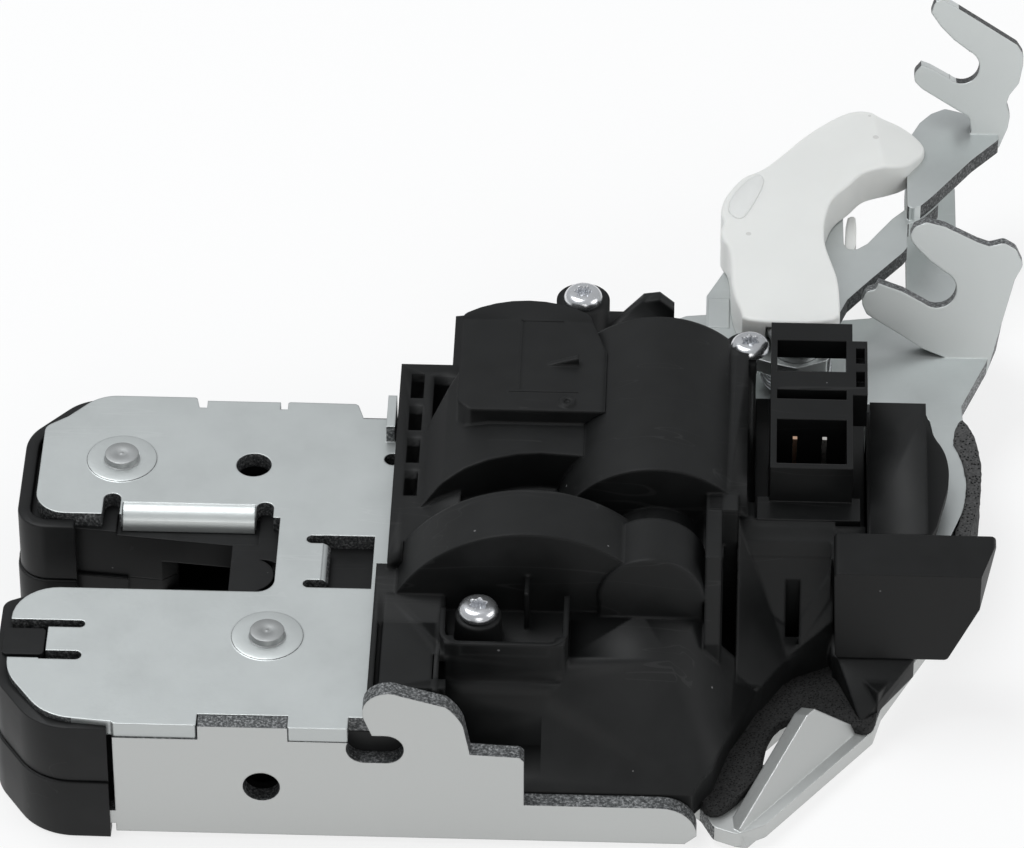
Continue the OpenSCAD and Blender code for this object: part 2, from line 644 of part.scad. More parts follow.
module actuator_base() {
    color(dark) difference() {
        union() {
            slab(floor_top + 0.05, -16.8) difference() {
                offset(delta = -0.2) body_plan();
                translate([20, -20]) square([8.3 + 2, 60]);
                translate([83.5, -40]) square([20, 21]);
            }
            // Cradle under the motor
            for (y = [-6, 14]) translate([motor_at[0] - 7, y, -17]) cube([14, 4, 6]);
        }
        translate([motor_at[0], -9, motor_at[1]]) rotate([-90, 0, 0]) cylinder(r = motor_r + 0.02, h = 40);
        // Slit for the gear's rim
        translate([gear_at[0] - 8, gear_y - 0.6, -30]) cube([16, gear_face + 1.2, 20]);
        translate([-40, -30, -30]) cube([40 + 27.2, 60, 40]);
    }
}

module connector_socket() {
    w = plug_w;
    x0 = 75.7;
    color(black) difference() {
        union() {
            translate([73.7, -13.9, -7]) cube([16.2, 37.8, 2]);
            translate([x0, -9.6, -12]) cube([w, 18, plug_z + 12]);
            translate([x0, 8.2, plug_z - 3.4]) cube([w, 15.4, 3.4]);
            translate([x0 - 1.8, -13.6, -6]) cube([w + 3, 5, 9.5]);
            translate([x0 + w, 7.2, plug_z - 6]) cube([2.2, 12.4, 6]);
        }
        // Plug cavity
        translate([x0 + plug_wall, -8.6, -9]) cube([w - 2 * plug_wall, 10, 30]);
        // Latch window
        translate([x0 + plug_wall, 12.4, 0]) cube([w - 2 * plug_wall, 7.2, 20]);
        // Slot behind the cavity
        translate([x0 + plug_wall, 6, 1]) cube([w - 2 * plug_wall, 2.2, 20]);
        for (y = [9, 14.4]) translate([x0 + w + 0.5, y, plug_z - 2]) cube([1.3, 3.6, 6]);
    }
}

module contacts() {
    color("#b08d57") for (s = [-1, 1]) translate([81.7 + s * pin_pitch / 2 - pin_w / 2, -3.6 - pin_w / 2, -9])
        cube([pin_w, pin_w, 13.5]);
}

module motor_can() {
    color(steel) translate([motor_at[0], -8.4, motor_at[1]]) rotate([-90, 0, 0]) difference() {
        union() {
            cylinder(r = motor_r, h = motor_len);
            translate([0, 0, -1.6]) cylinder(r = 5, h = motor_len + 1.6);
        }
        translate([0, 0, -3]) cylinder(r = 1.1, h = motor_len + 1);
    }
}
module motor_shaft() {
    color(steel) translate([motor_at[0], gear_y, motor_at[1]]) rotate([-90, 0, 0]) cylinder(r = 1.04, h = 36);
}

module toothed(n, face) {
    pitch_r = n * tooth / 2;
    linear_extrude(face) union() {
        circle(pitch_r - 1.15 * tooth);
        for (k = [0:n - 1]) rotate(360 * k / n) polygon([[pitch_r - 1.3 * tooth, -0.72 * tooth], [pitch_r, -0.42 * tooth],
            [pitch_r + 0.9 * tooth, -0.16 * tooth], [pitch_r + 0.9 * tooth, 0.16 * tooth], [pitch_r, 0.42 * tooth],
            [pitch_r - 1.3 * tooth, 0.72 * tooth]]);
    }
}

module pinion() {
    color(steel) translate([motor_at[0], gear_y, motor_at[1]]) rotate([-90, 0, 0]) difference() {
        rotate(180 / pinion_teeth) toothed(pinion_teeth, 5.5);
        translate([0, 0, -1]) cylinder(r = 1.04, h = 8);
    }
}

module drive_gear() {
    color(white) translate([gear_at[0], gear_y, gear_at[1]]) rotate([-90, 0, 0]) difference() {
        union() {
            toothed(gear_teeth, gear_face);
            translate([0, 0, -1]) cylinder(r = hub_r, h = 6);
        }
        translate([0, 0, -2]) cylinder(r = 1.5 + fit, h = 20);
    }
}

// Ramp on the gear's rear face: it pushes the pawl's tail as the gear turns
ramp_turn = 62;
module release_ramp() {
    color(white) translate([gear_at[0], gear_y + gear_face, gear_at[1]]) rotate([-90, 0, 0])
        skin([for (k = [0:16]) let(a = 66 - (ramp_turn + 2) * k / 16, h = ramp_foot + ramp_rise * k / 16)
            [[6 * cos(a), 6 * sin(a), 0], [9.2 * cos(a), 9.2 * sin(a), 0],
             [9.2 * cos(a), 9.2 * sin(a), h], [6 * cos(a), 6 * sin(a), h]]]);
}

module gear_axle() {
    color(steel) translate([gear_at[0], -28.55, gear_at[1]]) rotate([-90, 0, 0]) cylinder(r = 1.5, h = 9.6);
}

module end_cap() {
    color(black) difference() {
        intersection() {
            translate([0, -19.2, 0]) rotate([90, 0, 0]) linear_extrude(9) soften(0.8) polygon([[85, 6], [108.8, 6], [101.8, -10], [85.6, -10]]);
            translate([0, 0, -20]) linear_extrude(40) polygon([[85, -19.2], [108.8, -19.2], [106.1, -28.2], [85, -28.2]]);
        }
        translate([86.6, -26.6, -9]) cube([12.4, 5.8, 13]);
    }
}

upper_fork_y = 79.6;
// The arm's faces lie this far under the plate's
arm_drop = 0.15;
arm_plan = [[66, 34], [71.6, 28.2], [76, 26.4], [79.7, 25.3], [84.6, 27.5], [85.2, 36], [87.3, 41.9], [90.6, 46.6], [95.9, 53.8],
    [96.5, 55], [96.6, 60.8], [98.6, 61.6], [101.4, 65.6], [101.4, 71], [97, 71], [96.5, 64.6], [94.2, 61.8], [92.4, 58.9],
    [90.4, 55.6], [88.8, 54.2], [87.4, 54.2], [86.8, 55.4], [86.7, 62.5], [86.2, 66], [84.6, 66.4], [79, 62], [69, 49], [66, 42]];
// Upper part of the arm, a sheet's thickness higher
raised_arm_plan = [[96.5, 61], [98.6, 62.2], [100.4, 64.6], [106.6, 74], [110.8, 79.2], [110.7, 82.6], [104.8, 86], [102.6, 86.8],
    [100.4, 85.4], [98.6, 83], [97.2, 79.6], [96.5, 70]];
module release_lever() {
    color(zinc) difference() {
        union() {
            slab(-sheet - arm_drop, -arm_drop) soften(1, 0.6) polygon(arm_plan);
            slab(-arm_drop - eps, sheet - arm_drop) soften(0.8) polygon(raised_arm_plan);
            // Inner finger, a step lower, which runs behind the motor to the pawl
            slab(finger_z, finger_z + sheet) soften(0.8) polygon([[70.4, 43], [63, 42], [46, 32], [35, 19.5], [33, 9], [33, 5.4],
                [37, 5.4], [38, 15], [48, 26.4], [64, 32.5], [70.4, 33.5]]);
            translate([66.3, 34.4, finger_z]) cube([3.2, 7, -finger_z]);
            // Leg that reaches down to the pawl
            translate([33.2, 5.4, pawl_z0 + 0.2]) cube([3.8, 2.4, finger_z - pawl_z0]);
            // Upright fork for the cable's end
            translate([0, upper_fork_y, 0]) rotate([-fork_lean, 0, 0]) upright(0, sheet) {
                translate([0, fork_lift]) fork(upper_fork_plan, upper_slot_at, end_slot_r);
                translate([105.4, 0]) square([5.3, fork_lift + 1]);
            }
        }
        translate([lever_at[0], lever_at[1], -9]) cylinder(r = pivot_r + fit, h = 20);
    }
}

handle_plan = [[70.8, 30], [69.6, 36], [69.5, 46], [67.9, 48.8], [67.9, 51.2], [68.5, 52.6], [67.8, 54.4], [68, 57], [68.6, 59.2],
    [70.3, 62.6], [71.4, 64.2], [74, 65.7], [76.3, 68.6], [80.9, 75.1], [85.3, 79.5], [87.7, 81.1], [90.2, 81.4], [92.7, 80.2],
    [95.2, 79.8], [97.6, 78.4], [99.4, 76.2], [99.3, 73.6], [97.6, 70.7], [96.2, 68.7], [94, 67.4], [90.6, 66.1], [89.2, 65],
    [87.6, 62.4], [85, 59.3], [83.9, 54.5], [83.7, 50.8], [83.9, 47.2], [84.9, 43.2], [85.9, 39.5], [86, 29], [80, 23.8],
    [73.5, 26]];
module lever_handle() {
    color(white) difference() {
        slab(0.02, handle_h) soften(0.9, 0.5) polygon(handle_plan);
        slab(-1, sheet + 0.1) offset(0.15) polygon(raised_arm_plan);
        // Slope of the beak
        translate([94.4, 72, handle_h]) rotate([0, 0, 78]) rotate([-42, 0, 0]) translate([-20, -20, 0]) cube([40, 20, 20]);
        translate([screw_spots[1][0], screw_spots[1][1], -1]) cylinder(r = 5, h = 20);
        translate([lever_at[0], lever_at[1], -1]) cylinder(r = pivot_head_r + 0.6, h = 20);
        translate([lever_at[0] - 7, 18, -1]) cube([14, 13, 20]);
    }
}

module lever_rivet() {
    color(steel) translate([lever_at[0], lever_at[1], 0]) {
        translate([0, 0, bracket_z]) cylinder(r = pivot_r - 0.6, h = sheet);
        translate([0, 0, bracket_top]) cylinder(r = pivot_r, h = 3.2 - bracket_top);
        translate([0, 0, 3.2]) cylinder(r = pivot_head_r, h = 1.4);
    }
}

module lever_spring() {
    color(steel) translate([lever_at[0], lever_at[1], bracket_top + 0.7]) coil(4.9, 0.55, 2.5, 1.15);
}

module floor_pad() {
    color(dark) difference() {
        slab(floor_top, floor_top + pad_t) difference() {
            soften(1) polygon([[66.4, -51], [68.6, -53.4], [71, -53.4], [85.4, -34.3], [88, -33], [88, -20], [78, -20], [68, -40]]);
            offset(delta = 0.3) body_plan();
            offset(delta = 0.3) leg_foot();
        }
        slotted_hole(-30, 0, 0.5);
    }
}

module foam_seal() {
    color(dark) slab(bracket_z - foam_t, bracket_z) soften(1) polygon([[100.4, -8], [104.4, -7], [107, 2], [108, 13],
        [107.6, 21], [105.4, 28.6], [102.6, 25], [104, 13], [102.8, 4]]);
}

base_tray();
cable_bracket();
top_plate();
latch_case_upper();
latch_case_lower();
striker_buffer();
catch_rivet();
pawl_rivet();
catch();
catch_coat();
pawl();
catch_spring();
pawl_spring();
latch_switch();
actuator_cover();
actuator_base();
connector_socket();
contacts();
motor_can();
motor_shaft();
pinion();
drive_gear();
release_ramp();
gear_axle();
cover_screws();
end_cap();
release_lever();
lever_handle();
lever_rivet();
lever_spring();
floor_pad();
foam_seal();
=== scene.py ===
"""Dresses a trunk lid lock and its actuator: sheet metal, mouldings, fasteners, springs and seals,
on a plain stage."""
import json
from math import cos, pi, radians, sin, tan

import bmesh
import bpy
from bpy.props import FloatProperty, FloatVectorProperty, PointerProperty
from bpy.types import Operator, Panel, PropertyGroup
from mathutils import Matrix, Vector, noise


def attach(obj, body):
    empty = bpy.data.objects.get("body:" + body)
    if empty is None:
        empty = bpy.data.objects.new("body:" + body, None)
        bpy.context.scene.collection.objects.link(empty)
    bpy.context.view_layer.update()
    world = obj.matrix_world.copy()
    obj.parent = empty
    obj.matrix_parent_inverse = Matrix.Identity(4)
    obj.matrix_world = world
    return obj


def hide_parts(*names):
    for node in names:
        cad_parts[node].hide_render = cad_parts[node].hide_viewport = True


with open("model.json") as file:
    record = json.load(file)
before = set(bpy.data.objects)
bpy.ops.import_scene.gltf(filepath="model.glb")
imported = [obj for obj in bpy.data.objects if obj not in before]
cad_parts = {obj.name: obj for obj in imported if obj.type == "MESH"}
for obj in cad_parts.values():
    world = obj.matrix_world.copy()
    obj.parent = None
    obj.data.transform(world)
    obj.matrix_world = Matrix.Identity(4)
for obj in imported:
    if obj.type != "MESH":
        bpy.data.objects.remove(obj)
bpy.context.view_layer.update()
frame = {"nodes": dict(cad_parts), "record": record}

bl_info = {
    "name": "Trunk lock actuator",
    "version": (1, 0, 0),
    "blender": (4, 5, 0),
    "location": "View3D > Sidebar > Lock",
    "description": "Dresses a trunk lid lock and its actuator around a packed frame",
    "category": "Object",
}

MM = 0.001
# Points closer than this are one point
SAME_PLACE = 0.001 * MM
record = frame["record"]
BODY_OF = {node: body for body, nodes in record["behaviour"]["bodies"].items() for node in nodes}

# Centres of the rivets, the front screw and two humps of the cover, in millimetres
CATCH_AT = (4.3, -37.6)
PAWL_AT = (-19.5, 0.7)
LEVER_AT = (79.7, 30)
FRONT_SCREW_AT = (34.4, -35.6)
MOTOR_AT = (59.3, -2.8)
GEAR_AT = (41.4, -8.0)


def mm(*values):
    """A point given in millimetres, in metres."""
    return Vector(values) * MM


# Shader helpers


def plug(tree, socket, value):
    """Links another socket to this one, or sets its value. A colour may come without its alpha."""
    if isinstance(value, bpy.types.NodeSocket):
        tree.links.new(value, socket)
    elif socket.type == "RGBA" and len(value) == 3:
        socket.default_value = (*value, 1)
    else:
        socket.default_value = value


def put(tree, kind, inputs=None, **settings):
    """Adds a shader node, with sockets or values for its inputs."""
    node = tree.nodes.new("ShaderNode" + kind)
    for key, value in settings.items():
        setattr(node, key, value)
    for key, value in (inputs or {}).items():
        plug(tree, node.inputs[key], value)
    return node


def calc(tree, operation, *values):
    """One Math node on sockets or numbers."""
    return put(tree, "Math", dict(enumerate(values)), operation=operation).outputs[0]


def times(tree, a, b):
    """The product of two sockets or numbers."""
    return calc(tree, "MULTIPLY", a, b)


def scaled(tree, value, gain, base):
    """A value times a gain, plus a base."""
    return calc(tree, "ADD", times(tree, value, gain), base)


def outside(tree, mask):
    """One less a mask."""
    return calc(tree, "SUBTRACT", 1.0, mask)


def ramp(tree, factor, stops):
    """A colour ramp on a factor, from (position, colour) stops."""
    node = put(tree, "ValToRGB", {"Fac": factor})
    band = node.color_ramp
    while len(band.elements) < len(stops):
        band.elements.new(0.5)
    for element, (at, colour) in zip(band.elements, stops):
        element.position = at
        element.color = (*colour, 1)
    return node.outputs["Color"]


def blend_colour(tree, factor, below, above):
    """Two colours mixed by a factor."""
    return put(tree, "Mix", {0: factor, 6: below, 7: above}, data_type="RGBA").outputs[2]


def shade(colour, factor):
    """A colour made darker or lighter, up to full brightness."""
    return tuple(min(1, part * factor) for part in colour)


def noise_at(tree, where, scale, detail, roughness=0.5):
    """Noise of a scale at a place."""
    inputs = {"Vector": where, "Scale": scale, "Detail": detail, "Roughness": roughness}
    return put(tree, "TexNoise", inputs).outputs["Fac"]


def group(name, numbers, outputs):
    """An empty node group that takes a vector and numbers and gives numbers, and its end sockets."""
    tree = bpy.data.node_groups.new(name, "ShaderNodeTree")
    sockets = [("Vector", "Vector", "INPUT")]
    sockets += [(label, "Float", "INPUT") for label in numbers]
    sockets += [(label, "Float", "OUTPUT") for label in outputs]
    for label, kind, way in sockets:
        tree.interface.new_socket(name=label, in_out=way, socket_type="NodeSocket" + kind)
    return tree, tree.nodes.new("NodeGroupInput").outputs, tree.nodes.new("NodeGroupOutput").inputs


def grain_group():
    """Even surface grain: fine noise with a coarser one under it."""
    tree, given, out = group("surface_grain", ["Scale"], ["Height", "Cloud"])
    coarse_scale = times(tree, given["Scale"], 0.06)
    tree.links.new(noise_at(tree, given["Vector"], given["Scale"], 3.0, 0.6), out["Height"])
    tree.links.new(noise_at(tree, given["Vector"], coarse_scale, 4.0, 0.55), out["Cloud"])
    return tree


def scratch_group():
    """Sparse fine scratches: thin bands of a stretched noise, broken up by a second one."""
    tree, given, out = group("fine_scratches", ["Scale", "Spread"], ["Mask"])
    where = given["Vector"]
    stretch = {"Vector": where, "Rotation": (0.3, 0.2, 0.7), "Scale": (0.08, 1.0, 0.6)}
    lines = noise_at(tree, put(tree, "Mapping", stretch).outputs[0], given["Scale"], 2.0)
    near = calc(tree, "ABSOLUTE", calc(tree, "SUBTRACT", lines, 0.5))
    thin = calc(tree, "LESS_THAN", near, given["Spread"])
    patch = noise_at(tree, where, times(tree, given["Scale"], 0.12), 2.0)
    there = calc(tree, "GREATER_THAN", patch, 0.56)
    tree.links.new(times(tree, thin, there), out["Mask"])
    return tree


def speck_group():
    """Small round specks, each in its own cell."""
    tree, given, out = group("dust_specks", ["Scale", "Size"], ["Mask"])
    inputs = {"Vector": given["Vector"], "Scale": given["Scale"], "Randomness": 1.0}
    cells = put(tree, "TexVoronoi", inputs).outputs
    draws = put(tree, "SeparateColor", {"Color": cells["Color"]}).outputs
    close = calc(tree, "LESS_THAN", cells["Distance"], times(tree, given["Size"], draws[1]))
    chosen = calc(tree, "GREATER_THAN", draws[0], 0.6)
    tree.links.new(times(tree, close, chosen), out["Mask"])
    return tree


GROUP_BUILDERS = {"grain": grain_group, "scratches": scratch_group, "specks": speck_group}
GROUPS = {}


def effect(tree, name, **inputs):
    """Adds a shared node group, which is built at its first use."""
    if name not in GROUPS:
        GROUPS[name] = GROUP_BUILDERS[name]()
    return put(tree, "Group", inputs, node_tree=GROUPS[name]).outputs


def emptied(owner):
    """The node tree of a material or world, with no nodes in it."""
    owner.use_nodes = True
    owner.node_tree.nodes.clear()
    return owner.node_tree


FINISHES = {}


def new_finish(name):
    """Adds a finish to the list. Gives its node tree, its shader and the place on the object."""
    FINISHES[name] = bpy.data.materials.new(name)
    tree = emptied(FINISHES[name])
    shader = put(tree, "BsdfPrincipled")
    put(tree, "OutputMaterial", {"Surface": shader.outputs[0]})
    return tree, shader, put(tree, "TexCoord").outputs["Object"]


def feed(tree, shader, **sockets):
    """Sets or links the shader's sockets; underscores in a name stand for spaces."""
    for key, value in sockets.items():
        plug(tree, shader.inputs[key.replace("_", " ")], value)


def bump(tree, height, strength, distance_mm, edge_mm=0.0):
    """Surface relief, on top of edges that are rounded over edge_mm."""
    inputs = {"Height": height, "Strength": strength, "Distance": distance_mm * MM}
    if edge_mm:
        inputs["Normal"] = put(tree, "Bevel", {"Radius": edge_mm * MM}, samples=6).outputs[0]
    return put(tree, "Bump", inputs).outputs[0]


# Finishes

# Cosine above which a face counts as one that looks along a direction
LOOKS_ALONG = 0.72
# Upward share of the normal under which a face counts as standing and takes painted shade
STANDS = 0.55
CUT_EDGE_TONES = ((0.36, (0.05, 0.052, 0.054)), (0.52, (0.13, 0.135, 0.137)), (0.68, (0.36, 0.365, 0.37)))


def zinc_sheet(name, tint, faces, edge_mm, dark_edge=1.0, zones=(), smooth=(), standing_shade=0.74):
    """Zinc-plated sheet steel. faces are the directions that rolled faces look in; every other face is
    a cut edge. A zone is (lowest corner, highest corner, direction): inside it only that direction is
    a rolled face. smooth lists boxes without cut edges. Standing faces get painted shade: their colour is the
    tint times the factor for standing faces, so they look less lit than faces that look up."""
    tree, shader, where = new_finish(name)
    normal = where.node.outputs["Normal"]
    place = put(tree, "SeparateXYZ", {0: where}).outputs

    def along(direction):
        """Mask of the faces that look along a direction, either way."""
        dot = put(tree, "VectorMath", {0: normal, 1: direction}, operation="DOT_PRODUCT")
        return calc(tree, "GREATER_THAN", calc(tree, "ABSOLUTE", dot.outputs["Value"]), LOOKS_ALONG)

    def inside(low, high):
        """Mask of a box in mm; None leaves it open on that side."""
        inner = 1.0
        for axis in range(3):
            for bound, test in ((low[axis], "GREATER_THAN"), (high[axis], "LESS_THAN")):
                if bound is not None:
                    inner = times(tree, inner, calc(tree, test, place[axis], bound * MM))
        return inner

    rolled = along(faces[0])
    for direction in faces[1:]:
        rolled = calc(tree, "MAXIMUM", rolled, along(direction))
    cut = outside(tree, rolled)
    for low, high, direction in zones:
        local = times(tree, inside(low, high), outside(tree, along(direction)))
        cut = calc(tree, "MAXIMUM", cut, local)
    for low, high in smooth:
        cut = times(tree, cut, outside(tree, inside(low, high)))

    rolled_way = put(tree, "Mapping", {"Vector": where, "Scale": (0.45, 1.0, 1.0)}).outputs[0]
    fine = effect(tree, "grain", Vector=rolled_way, Scale=3600.0)["Height"]
    cloud = effect(tree, "grain", Vector=where, Scale=1500.0)["Cloud"]
    scratch = effect(tree, "scratches", Vector=where, Scale=260.0, Spread=0.006)["Mask"]
    torn = effect(tree, "grain", Vector=where, Scale=2600.0)["Height"]
    face = ramp(tree, cloud, [(0.3, shade(tint, 0.93)), (0.52, tint), (0.75, shade(tint, 1.05))])
    face = blend_colour(tree, times(tree, scratch, 0.1), face, (0.86, 0.88, 0.88))
    # Painted shade: standing faces take a darker tint, as if less lit than faces that look up
    upward = calc(tree, "ABSOLUTE", put(tree, "SeparateXYZ", {0: normal}).outputs[2])
    face = blend_colour(tree, calc(tree, "LESS_THAN", upward, STANDS), face, shade(tint, standing_shade))
    edge = ramp(tree, torn, [(at, shade(tone, dark_edge)) for at, tone in CUT_EDGE_TONES])
    colour = blend_colour(tree, cut, face, edge)
    rough = calc(tree, "ADD", scaled(tree, fine, 0.16, 0.3), times(tree, cut, 0.2))
    height = scaled(tree, times(tree, torn, cut), 4.0, times(tree, fine, outside(tree, cut)))
    relief = bump(tree, height, 0.35, 0.02, edge_mm)
    feed(tree, shader, Base_Color=colour, Metallic=0.82, Roughness=rough, Normal=relief)


def moulding(name, colour, roughness, grain_mm=0.28, depth=0.3, edge_mm=0.3):
    """Black moulded plastic with spark-eroded grain, faint clouding and a few dust specks."""
    tree, shader, where = new_finish(name)
    fine = effect(tree, "grain", Vector=where, Scale=1000 / grain_mm)
    dust = effect(tree, "specks", Vector=where, Scale=260.0, Size=0.05)["Mask"]
    scratch = effect(tree, "scratches", Vector=where, Scale=180.0, Spread=0.003)["Mask"]
    tone = ramp(tree, fine["Cloud"], [(0.3, shade(colour, 0.8)), (0.7, shade(colour, 1.25))])
    marks = calc(tree, "MAXIMUM", times(tree, dust, 0.5), times(tree, scratch, 0.03))
    tone = blend_colour(tree, marks, tone, (0.25, 0.25, 0.25))
    rough = scaled(tree, fine["Cloud"], 0.14, roughness - 0.07)
    relief = bump(tree, fine["Height"], depth, 0.02, edge_mm)
    feed(tree, shader, Base_Color=tone, Roughness=rough, Normal=relief, Specular_IOR_Level=0.24)


def turned_steel(name, colour, roughness):
    """Bright or dark steel of a rivet, screw, shaft or spring, with fine tool marks."""
    tree, shader, where = new_finish(name)
    fine = effect(tree, "grain", Vector=where, Scale=2200.0)
    scratch = effect(tree, "scratches", Vector=where, Scale=700.0, Spread=0.01)["Mask"]
    tone = ramp(tree, fine["Cloud"], [(0.3, shade(colour, 0.82)), (0.7, shade(colour, 1.08))])
    tone = blend_colour(tree, times(tree, scratch, 0.4), tone, shade(colour, 0.55))
    rough = scaled(tree, fine["Height"], 0.18, roughness - 0.09)
    relief = bump(tree, fine["Height"], 0.25, 0.012)
    feed(tree, shader, Base_Color=tone, Roughness=rough, Normal=relief, Metallic=0.95)


def milky_plastic(name, colour, roughness, glow):
    """White acetal: soft, slightly see-through at thin edges."""
    tree, shader, where = new_finish(name)
    fine = effect(tree, "grain", Vector=where, Scale=1400.0)
    dust = effect(tree, "specks", Vector=where, Scale=120.0, Size=0.06)["Mask"]
    tone = ramp(tree, fine["Cloud"], [(0.3, shade(colour, 0.965)), (0.7, colour)])
    tone = blend_colour(tree, times(tree, dust, 0.5), tone, (0.45, 0.44, 0.42))
    rough = scaled(tree, fine["Cloud"], 0.12, roughness - 0.06)
    relief = bump(tree, fine["Height"], 0.06, 0.02, 0.35)
    feed(tree, shader, Base_Color=tone, Roughness=rough, Normal=relief, Subsurface_Weight=glow,
         Subsurface_Radius=(1.0, 0.96, 0.9), Subsurface_Scale=1.6 * MM)


def soft_black(name, dark, light, scale, wall, depth):
    """Foam or felt: a dark ground with lighter fibres or cell walls, at a distance wall from the middle."""
    tree, shader, where = new_finish(name)
    cells = put(tree, "TexVoronoi", {"Vector": where, "Scale": scale, "Randomness": 1.0}).outputs
    fine = effect(tree, "grain", Vector=where, Scale=scale * 1.7)["Height"]
    walls = times(tree, calc(tree, "GREATER_THAN", cells["Distance"], wall), fine)
    middle = [(a + b) / 2 for a, b in zip(dark, light)]
    tone = ramp(tree, walls, [(0.0, dark), (0.45, middle), (0.75, light)])
    relief = bump(tree, calc(tree, "ADD", cells["Distance"], fine), depth, 0.12)
    feed(tree, shader, Base_Color=tone, Roughness=0.95, Normal=relief, Specular_IOR_Level=0.2)


def tinned_metal(name, middle):
    """Tinned copper alloy: coppery left of a place in mm along X, silver right of it."""
    tree, shader, where = new_finish(name)
    place = put(tree, "SeparateXYZ", {0: where}).outputs
    fine = effect(tree, "grain", Vector=where, Scale=3000.0)
    left = calc(tree, "LESS_THAN", place[0], middle * MM)
    tone = blend_colour(tree, left, (0.82, 0.8, 0.76), (0.8, 0.5, 0.34))
    tone = blend_colour(tree, times(tree, fine["Cloud"], 0.3), tone, (0.55, 0.45, 0.36))
    rough = scaled(tree, fine["Height"], 0.2, 0.2)
    feed(tree, shader, Base_Color=tone, Roughness=rough, Metallic=1.0)


# Mesh helpers


def linked(name, data):
    """A new object in the scene."""
    made = bpy.data.objects.new(name, data)
    bpy.context.scene.collection.objects.link(made)
    return made


def mesh_from(name, bm):
    """A new mesh with the shape of a bmesh, which is freed."""
    mesh = bpy.data.meshes.new(name)
    bm.to_mesh(mesh)
    bm.free()
    return mesh


def final_shape(made):
    """An object's shape with its modifiers, as a bmesh."""
    bpy.context.view_layer.update()
    seen = made.evaluated_get(bpy.context.evaluated_depsgraph_get())
    mesh = bpy.data.meshes.new_from_object(seen)
    bm = bmesh.new()
    bm.from_mesh(mesh)
    bpy.data.meshes.remove(mesh)
    return bm


def piece(name, bm, finish, node=None, like=None, smooth=35.0):
    """Makes a piece of the object. It stands for its node, or is an extra piece of the one it is like."""
    mesh = mesh_from(name, bm)
    mesh.shade_smooth()
    if smooth:
        mesh.set_sharp_from_angle(angle=radians(smooth))
    mesh.materials.append(FINISHES[finish])
    made = linked(name, mesh)
    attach(made, BODY_OF[node or like])
    if node:
        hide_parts(node)
    return made


def turned(profile, centre, steps=48):
    """A turned piece from (radius, height) points in mm, round an upright axis at (x, y)."""
    bm = bmesh.new()
    verts = [bm.verts.new((radius * MM, 0, height * MM)) for radius, height in profile]
    edges = [bm.edges.new(pair) for pair in zip(verts, verts[1:])]
    bmesh.ops.spin(bm, geom=verts + edges, cent=(0, 0, 0), axis=(0, 0, 1), angle=2 * pi, steps=steps,
                   use_merge=True)
    bmesh.ops.remove_doubles(bm, verts=bm.verts, dist=SAME_PLACE)
    bmesh.ops.recalc_face_normals(bm, faces=bm.faces)
    bmesh.ops.translate(bm, verts=bm.verts, vec=mm(*centre, 0))
    return bm


def rounded(points, cuts=2):
    """Cuts a closed outline's corners again and again, so that it becomes a smooth curve."""
    points = [Vector(point) for point in points]
    for _ in range(cuts):
        sides = zip(points, points[1:] + points[:1])
        points = [a.lerp(b, share) for a, b in sides for share in (0.25, 0.75)]
    return points


def filleted(corners, closed=True, steps=7):
    """An outline from corners (x, y) or (x, y, radius), with an arc in each corner that has a radius."""
    points = []
    count = len(corners)
    for k, corner in enumerate(corners):
        here = Vector(corner[:2])
        if len(corner) < 3 or (not closed and k in (0, count - 1)):
            points.append(here)
            continue
        radius = corner[2]
        before = (Vector(corners[k - 1][:2]) - here).normalized()
        after = (Vector(corners[(k + 1) % count][:2]) - here).normalized()
        half = before.angle(after) / 2
        start = here + before * radius / tan(half)
        end = here + after * radius / tan(half)
        centre = here + (before + after).normalized() * radius / sin(half)
        for n in range(steps + 1):
            spoke = (start - centre).slerp(end - centre, n / steps)
            points.append(centre + spoke.normalized() * radius)
    return points


def arch(centre, radius, start, stop, step=3):
    """Points of an arc round a centre, from one angle towards the other in degrees."""
    angles = [radians(angle) for angle in range(start, stop, step)]
    return [(centre[0] + radius * cos(a), centre[1] + radius * sin(a)) for a in angles]


def beside(line, gap):
    """An open line moved sideways by a gap, to the right of its direction."""
    moved = []
    for k, point in enumerate(line):
        along = (line[min(k + 1, len(line) - 1)] - line[max(k - 1, 0)]).normalized()
        moved.append(point + Vector((along.y, -along.x)) * gap)
    return moved


PLACES = {"Z": lambda a, b, c: (a, b, c), "Y": lambda a, b, c: (a, c, b), "X": lambda a, b, c: (c, a, b)}


def prism(outline, low, high, axis="Z", into=None):
    """A solid from an outline in mm between two places along an axis. The outline lies in the other
    two axes. The solid can be added to the shape into."""
    place = PLACES[axis]
    bm = bmesh.new()
    face = bm.faces.new([bm.verts.new(mm(*place(p[0], p[1], low))) for p in outline])
    lifted = bmesh.ops.extrude_face_region(bm, geom=[face], use_keep_orig=True)
    moved = [v for v in lifted["geom"] if isinstance(v, bmesh.types.BMVert)]
    bmesh.ops.translate(bm, verts=moved, vec=mm(*place(0, 0, high - low)))
    bmesh.ops.recalc_face_normals(bm, faces=bm.faces)
    return add_to(into, bm) if into else bm


def block(low, high, into=None):
    """A box between two corners in mm."""
    outline = [(low[0], low[1]), (high[0], low[1]), (high[0], high[1]), (low[0], high[1])]
    return prism(outline, low[2], high[2], "Z", into)


def sliced(bm, point, direction):
    """Takes away what lies beyond a plane, and closes the cut."""
    geom = bm.verts[:] + bm.edges[:] + bm.faces[:]
    bmesh.ops.bisect_plane(bm, geom=geom, dist=SAME_PLACE, plane_co=mm(*point), plane_no=direction,
                           clear_outer=True)
    bmesh.ops.holes_fill(bm, edges=[e for e in bm.edges if e.is_boundary])
    bmesh.ops.recalc_face_normals(bm, faces=bm.faces)


def add_to(target, source):
    """Moves one bmesh's shape into another."""
    mesh = mesh_from("moved", source)
    target.from_mesh(mesh)
    bpy.data.meshes.remove(mesh)
    return target


